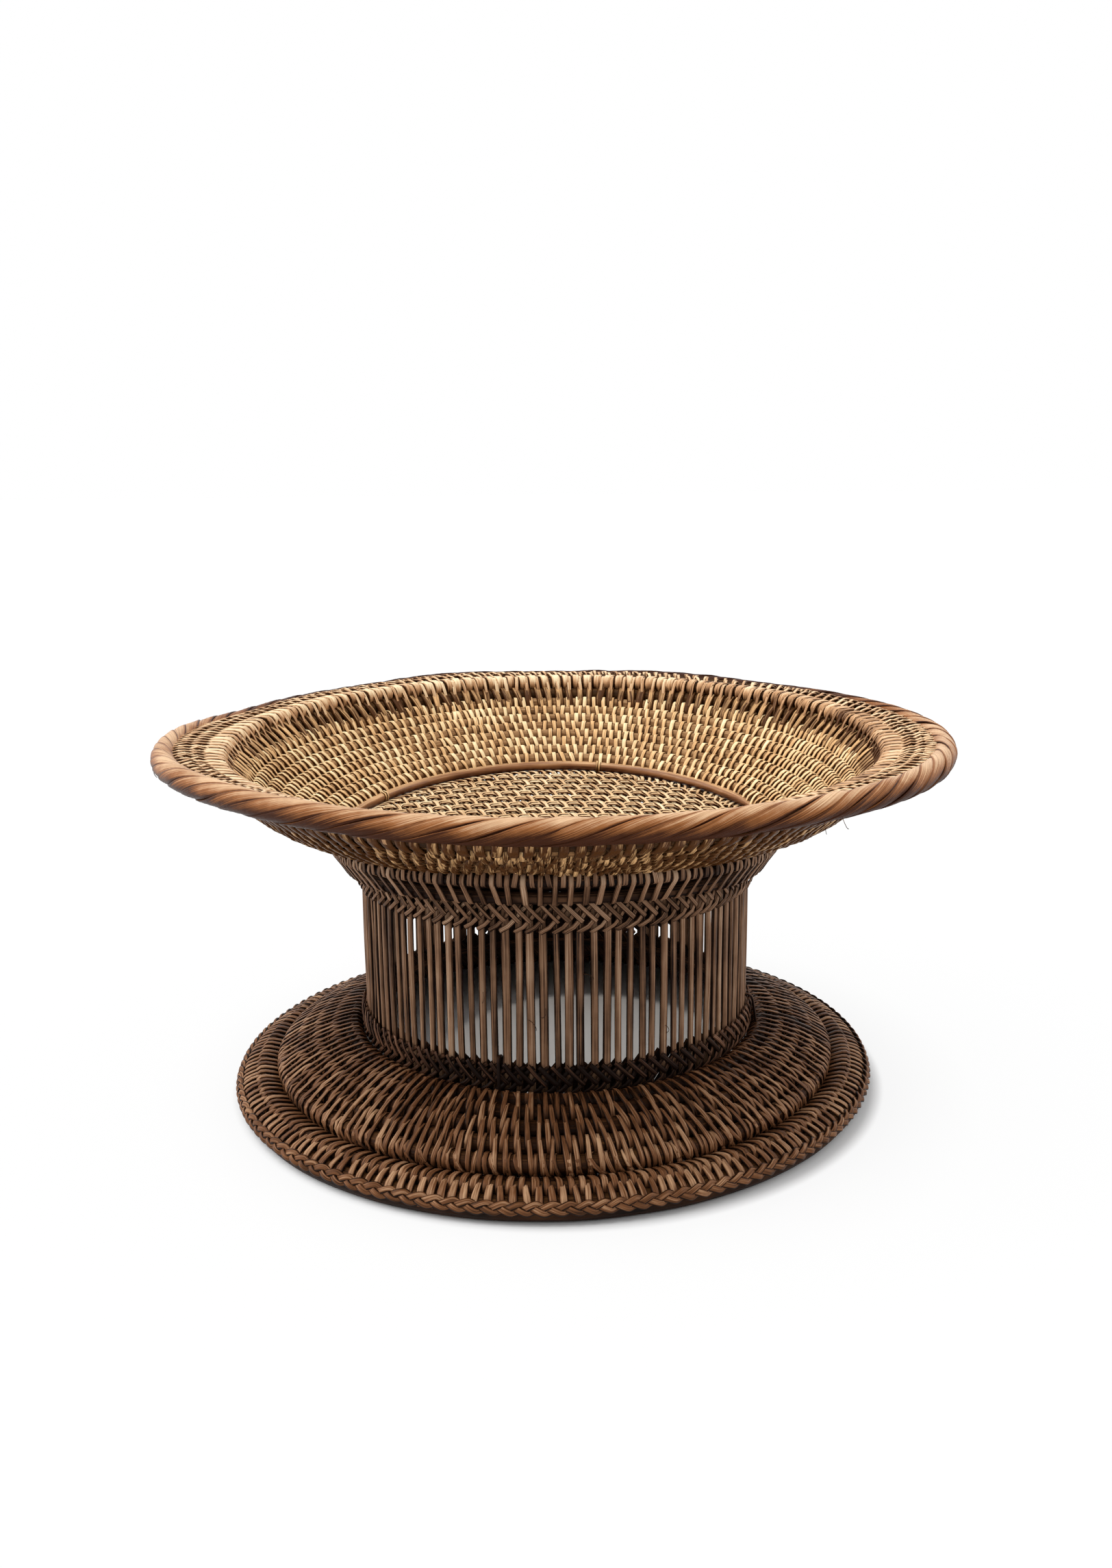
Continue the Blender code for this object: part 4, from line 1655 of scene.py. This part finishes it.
@dataclass
class Foot:
    """The domed foot: dome and flange coils, the plaited edge and the lashings to the neck.

    The flange's first row lies low in its recess, under the dome's last stitches. In the edge's
    plait, plait_middle is the way that it faces, seen from its core, and plait_swing how far each
    strip goes to either side of that.
    """

    dome_turns: int = 5
    dome_rod: float = 0.0038
    dome_sink: float = 0.0005
    flange_turns: int = 2
    flange_pitch: float = 0.00663
    flange_slope: float = math.radians(19)
    flange_rod: float = 0.0030
    recess: float = 0.0028
    tie_angles: tuple[float, ...] = (75, 165, 255, 347)
    edge_core: float = 0.0048
    chevrons: int = 144
    strip: float = 0.0027
    strip_thickness: float = 0.0013
    plait_middle: float = math.radians(27)
    plait_swing: float = math.radians(18)
    plait_lift: float = 0.0007

    def dome(self) -> None:
        """Coils and sews the dome, and binds it to the band above and the flange below."""
        drop = DOME_START.height - DOME_END.height
        reach = DOME_END.radius - DOME_START.radius
        pitch = math.hypot(drop, reach) / (self.dome_turns - 1)
        slope = -math.atan2(drop, reach)
        start = DOME_START.away(self.dome_sink, slope - BACK)
        end = DOME_END.away(self.dome_sink, slope - BACK)
        # The dome's first rows, near the neck under the bowl, get painted shade.
        dome = CoiledWork(
            "dome",
            "foot_cane",
            Rows(start, pitch, slope, self.dome_turns, self.dome_rod, BACK, bulge=0.0019, shade=0.50),
            Stitch(0.0024, 0.0052, lean=0.0008, taper=0.2),
            FOOT_PEEL,
            FOOT_ROD,
            "dome_coil",
            out_of_round,
            SEED + 12,
        )
        dome.rods()
        dome.stitches()
        band_foot = Place(0.0952, 0.0262)
        # The stitches to the band get strong painted shade.
        dome.bind(dome.azimuths[0], band_foot.held(0.0012), start.held(self.dome_rod), 0.9)
        under = end.away(0.0018, slope - BACK)
        dome.bind(dome.azimuths[-1], end.held(self.dome_rod), under.held(self.dome_rod))
        dome.sewn()

    def flange(self) -> None:
        """Coils and sews the flange, and binds it to the edge."""
        first = FLANGE_START.away(self.recess, -BACK)
        # The flange's first row, low in its recess under the dome, gets painted shade.
        flange = CoiledWork(
            "flange",
            "foot_cane",
            Rows(
                first,
                self.flange_pitch,
                self.flange_slope,
                self.flange_turns,
                self.flange_rod,
                BACK,
                shade=0.4,
            ),
            Stitch(0.0031, 0.0045, lean=0.0004, taper=0.2),
            FOOT_PEEL,
            FOOT_ROD,
            "flange_coil",
            out_of_round,
            SEED + 13,
        )
        flange.rods()
        flange.stitches()
        lower = Place(0.13921, 0.00966).away(0.0016, math.radians(-6))
        tucked = Place(EDGE.radius, EDGE.height + 0.0009)
        flange.bind(flange.azimuths[-1], lower.held(0.0022), tucked.held(self.edge_core - 0.0006))
        flange.sewn()

    def plaited_edge(self) -> None:
        """The edge: three strips plaited flat and bent over the outer corner, on a thick core."""
        rng = np.random.default_rng(SEED + 14)
        work = CaneWork("edge_plait", "foot_cane")
        core = self.edge_core
        form = modelled_ring(self.chevrons, 8, 0.85, cuts=9)
        azimuth = TURN * np.arange(form.rings) / form.rings
        # Close to 1, it makes each strip run straight from one side of the plait to the other.
        sharpness = 0.98
        for strand in range(3):
            phase = self.chevrons / 3 * azimuth + TURN * strand / 3 + wander(rng, azimuth, 0.12, 40)
            swing = np.arcsin(sharpness * np.sin(phase)) / math.asin(sharpness)
            turn = self.plait_middle + self.plait_swing * swing
            reach = core + 0.0006 + self.plait_lift * np.sin(2 * phase)
            radius = EDGE.radius + reach * np.cos(turn)
            height = EDGE.height + reach * np.sin(turn)
            middles = around(radius, height, azimuth)
            facing = around(np.cos(turn), np.sin(turn), azimuth)
            width = self.strip * (1 + wander(rng, azimuth, 0.06, 60))
            thickness = np.array([[self.strip_thickness]])
            tone = np.array([0.25 + 0.1 * strand])
            routes = Routes(middles[None], facing[None], width[None], thickness, tone)
            work.lay(form, routes, out_of_round)
        work.build(FOOT_PEEL)
        hoop_of_rod("edge_core", "foot_cane", EDGE, core, FOOT_ROD, rng, out_of_round, "foot_edge")

    def ties(self) -> None:
        """The lashings that hold the lower band to the dome."""
        rng = np.random.default_rng(SEED + 15)
        work = CaneWork("foot_lashings", "foot_cane")
        stitcher = Stitcher(Stitch(0.0017, 0.004, thickness=0.0012, lean=0.0003), rng, stitch_form())
        azimuths = np.radians(np.array(self.tie_angles))
        band = Place(0.0918, 0.0400).held(0.0022)
        stitcher.sew(work, azimuths, band, Place(0.0935, 0.0265).held(0.0022))
        work.build(SHADED_BAND_SPLIT, *[f"foot_tie_{number}" for number in range(1, len(self.tie_angles) + 1)])

    def build(self) -> None:
        """Builds the foot from the neck outwards."""
        self.dome()
        self.flange()
        self.plaited_edge()
        self.ties()


@dataclass
class LooseFibres:
    """Thin fibres that have sprung from the splints and the rim.

    Each has its azimuth in degrees, its height and length, and the way it runs, in degrees from
    level. curl is how far it turns along its length, off how far its middle stands away.
    """

    thickness: float = 0.00028
    curl: float = 0.9
    off: float = 0.0012
    neck: tuple[tuple[float, float, float, float], ...] = (
        (250.0, 0.0655, 0.0050, 60.0),
        (264.6, 0.0550, 0.0060, 100.0),
        (266.0, 0.0607, 0.0045, 40.0),
        (279.8, 0.0770, 0.0050, 120.0),
        (301.0, 0.0480, 0.0040, 75.0),
        (96.0, 0.0600, 0.0055, 110.0),
        (171.0, 0.0720, 0.0050, 70.0),
    )
    rim: tuple[tuple[float, float, float, float], ...] = (
        (306.0, 0.1592, 0.0060, -80.0),
        (303.0, 0.1590, 0.0050, -100.0),
        (297.0, 0.1588, 0.0040, -60.0),
        (196.0, 0.1600, 0.0040, -110.0),
    )

    def spring(
        self,
        name: str,
        slot: str,
        finish: CaneFinish,
        radius: float,
        fibres: tuple[tuple[float, ...], ...],
    ) -> None:
        """Makes the fibres of one piece.

        Args:
            name: the piece's name.
            slot: kept with the piece, but not used.
            finish: what it is made of.
            radius: how far from the axis the fibres start.
            fibres: the numbers of each.
        """
        work = CaneWork(name, slot)
        form = modelled_bar(4, (7,))
        share = np.linspace(0, 1, form.rings)
        for angle, height, length, turn in fibres:
            way = math.radians(turn) + self.curl * (share - 0.5)
            azimuth = math.radians(angle) + length * share * np.cos(way) / radius
            rise = length * share * np.sin(way)
            middles = around(radius + self.off * np.sin(np.pi * share), height + rise, azimuth)[None]
            width = np.full((1, form.rings), self.thickness)
            work.lay(form, Routes(middles, outwards(azimuth)[None], width, width, np.array([0.1])))
        work.build(finish)

    def build(self) -> None:
        """Makes the fibres of the splints and of the rim."""
        self.spring("neck_fibres", "neck_cane", NECK_SPLIT, NECK_RADIUS + 0.0001, self.neck)
        self.spring("rim_fibres", "rim_cane", RIM_CANE, RIM.radius + 0.0028, self.rim)


class Lamp(Enum):
    """The soft lamps: where each stands as seen from the bowl, how wide it looks and its strength."""

    ABOVE = ((-0.25, -0.05, 1.0), 40.0, 1.15)
    LEFT = ((-1.0, 0.0, 0.55), 45.0, 1.25)
    RIGHT = ((1.0, 0.1, 0.55), 45.0, 0.55)


@dataclass
class Studio:
    """Plain pale floor, soft light from above, and the camera where the photograph was taken.

    focal and long_side are in pixels of the photograph, pitch and roll in degrees. glow pairs
    distances from the axis with how white the floor looks there, whatever falls on it.
    """

    distance: float = 0.6246
    height: float = 0.2815
    sideways: float = 0.0008
    pitch: float = 12.75
    roll: float = -0.6
    focal: float = 1993.0
    long_side: float = 2290.0
    painted_light_inside: float = 0.14
    glow: tuple[tuple[float, float], ...] = ((0.150, 0.0), (0.1530, 0.40), (0.1560, 0.87), (0.200, 0.96))
    sky_even: float = 0.12
    sky_above: float = 0.60
    sky_sides: float = 0.48

    def camera(self) -> None:
        """Makes the camera."""
        data = bpy.data.cameras.new("camera")
        data.sensor_width = 36.0
        data.lens = self.focal * data.sensor_width / self.long_side
        data.clip_start = 0.01
        camera = bpy.data.objects.new("camera", data)
        camera.location = (self.sideways, -self.distance, self.height)
        tilt = Matrix.Rotation(math.radians(90 - self.pitch), 4, "X")
        camera.rotation_euler = (tilt @ Matrix.Rotation(math.radians(self.roll), 4, "Z")).to_euler()
        bpy.context.scene.collection.objects.link(camera)
        bpy.context.scene.camera = camera

    def seen(self, tree: bpy.types.NodeTree) -> bpy.types.NodeSocket:
        """Adds a share that is 1 for what the camera, a gloss or a clear surface sees, and 0 for light.

        Args:
            tree: the node tree.

        Returns:
            The share.
        """
        path = node(tree, "ShaderNodeLightPath", {}, {})
        gloss = node(
            tree,
            "ShaderNodeMath",
            {"operation": "MAXIMUM"},
            {0: path.outputs["Is Camera Ray"], 1: path.outputs["Is Glossy Ray"]},
        )
        clear = node(
            tree,
            "ShaderNodeMath",
            {"operation": "MAXIMUM"},
            {0: gloss.outputs[0], 1: path.outputs["Is Transmission Ray"]},
        )
        return clear.outputs[0]

    def painted_light_pool(self, tree: bpy.types.NodeTree, place: bpy.types.NodeSocket) -> bpy.types.NodeSocket:
        """Adds a painted pool of light on the floor inside the foot, where light falls in through the
        neck's gaps and the mat, a little to the right.

        Args:
            tree: the floor's node tree.
            place: where on the floor a point is.

        Returns:
            How bright it makes the floor.
        """
        shifted = node(
            tree,
            "ShaderNodeVectorMath",
            {"operation": "MULTIPLY_ADD"},
            {0: place, 1: (1.15, 1.0, 1.0), 2: (-0.018, 0.0, 0.0)},
        )
        inside = node(tree, "ShaderNodeVectorMath", {"operation": "LENGTH"}, {0: shifted.outputs[0]})
        lit = node(
            tree,
            "ShaderNodeMapRange",
            {"interpolation_type": "SMOOTHSTEP"},
            {
                "Value": inside.outputs["Value"],
                "From Min": 0.084,
                "From Max": 0.092,
                "To Min": self.painted_light_inside,
                "To Max": 0.0,
            },
        )
        return lit.outputs["Result"]

    def floor(self) -> None:
        """Makes the pale floor, which keeps the bowl's shadow and fades to white away from it."""
        deselect_all()
        bpy.ops.mesh.primitive_plane_add(size=40)
        floor = bpy.context.object
        floor.name = "studio_floor"
        made = bpy.data.materials.new("studio_floor")
        made.use_nodes = True
        tree = made.node_tree
        shader = tree.nodes["Principled BSDF"]
        shader.inputs["Base Color"].default_value = (0.9, 0.9, 0.9, 1)
        shader.inputs["Roughness"].default_value = 0.9
        shader.inputs["Specular IOR Level"].default_value = 0.0
        place = node(tree, "ShaderNodeTexCoord", {}, {}).outputs["Object"]
        length = node(tree, "ShaderNodeVectorMath", {"operation": "LENGTH"}, {0: place})
        reach = length.outputs["Value"]
        # The ramps run over the first 0.25 m round the axis.
        scale = 4.0
        near = node(tree, "ShaderNodeMath", {"operation": "MULTIPLY"}, {0: reach, 1: scale})
        glowing = node(tree, "ShaderNodeValToRGB", {}, {"Fac": near.outputs[0]})
        stops = glowing.color_ramp.elements
        stops.remove(stops[1])
        for number, (radius, level) in enumerate(self.glow):
            stop = stops.new(radius * scale) if number else stops[0]
            stop.position = radius * scale
            stop.color = (level, level, level, 1)
        # The painted pool of light inside the foot is warm, the floor outside it plain white.
        warm = node(tree, "ShaderNodeValToRGB", {}, {"Fac": near.outputs[0]})
        warm.color_ramp.elements[0].position = 0.4
        warm.color_ramp.elements[0].color = linear_colour("FFF7EC")
        warm.color_ramp.elements[1].position = 0.6
        glow = node(tree, "ShaderNodeEmission", {}, {"Color": warm.outputs["Color"]})
        both = node(
            tree,
            "ShaderNodeMath",
            {"operation": "ADD"},
            {0: self.painted_light_pool(tree, place), 1: glowing.outputs["Color"]},
        )
        share = node(
            tree, "ShaderNodeMath", {"operation": "MULTIPLY"}, {0: self.seen(tree), 1: both.outputs[0]}
        )
        mixed = node(
            tree,
            "ShaderNodeMixShader",
            {},
            {0: share.outputs[0], 1: shader.outputs["BSDF"], 2: glow.outputs["Emission"]},
        )
        tree.links.new(mixed.outputs[0], tree.nodes["Material Output"].inputs["Surface"])
        floor.data.materials.append(made)

    def world(self) -> None:
        """Fills the room with soft light, from above and both sides, and shows white behind the bowl."""
        world = bpy.data.worlds.new("studio_world")
        world.use_nodes = True
        bpy.context.scene.world = world
        tree = world.node_tree
        direction = node(tree, "ShaderNodeTexCoord", {}, {})
        parts = node(tree, "ShaderNodeSeparateXYZ", {}, {0: direction.outputs["Generated"]})
        side = node(tree, "ShaderNodeMath", {"operation": "ABSOLUTE"}, {0: parts.outputs["X"]})
        low = node(
            tree,
            "ShaderNodeMath",
            {"operation": "MULTIPLY_ADD"},
            {0: side.outputs[0], 1: self.sky_sides, 2: self.sky_even},
        )
        above = node(tree, "ShaderNodeMath", {"operation": "MAXIMUM"}, {0: parts.outputs["Z"], 1: 0.0})
        sky = node(
            tree,
            "ShaderNodeMath",
            {"operation": "MULTIPLY_ADD"},
            {0: above.outputs[0], 1: self.sky_above, 2: low.outputs[0]},
        )
        strength = node(
            tree,
            "ShaderNodeMapRange",
            {},
            {"Value": self.seen(tree), "To Min": sky.outputs[0], "To Max": 1.0},
        )
        background = tree.nodes["Background"]
        background.inputs["Color"].default_value = (1, 1, 1, 1)
        tree.links.new(strength.outputs["Result"], background.inputs["Strength"])

    def lamps(self) -> None:
        """Hangs the soft lamps, far enough away to light the whole floor alike."""
        for lamp in Lamp:
            direction, spread, strength = lamp.value
            data = bpy.data.lights.new("lamp_" + lamp.name.lower(), "SUN")
            data.angle = math.radians(spread)
            data.energy = strength
            hung = bpy.data.objects.new(data.name, data)
            hung.rotation_euler = Vector(direction).to_track_quat("Z", "Y").to_euler()
            bpy.context.scene.collection.objects.link(hung)

    def build(self) -> None:
        """Makes camera, floor, light and colour settings."""
        self.camera()
        self.floor()
        self.world()
        self.lamps()
        bpy.context.scene.view_settings.view_transform = "Standard"


def main() -> None:
    """Builds the studio and every piece of the bowl on the loaded frame."""
    logging.basicConfig(level=logging.INFO, format="%(name)s: %(message)s")
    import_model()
    Studio().build()
    Rim().build()
    Bowl().build()
    FloorHoop().build()
    FloorMat().build()
    Openwork().build()
    Neck().build()
    Foot().build()
    LooseFibres().build()


if __name__ == "__main__":
    main()
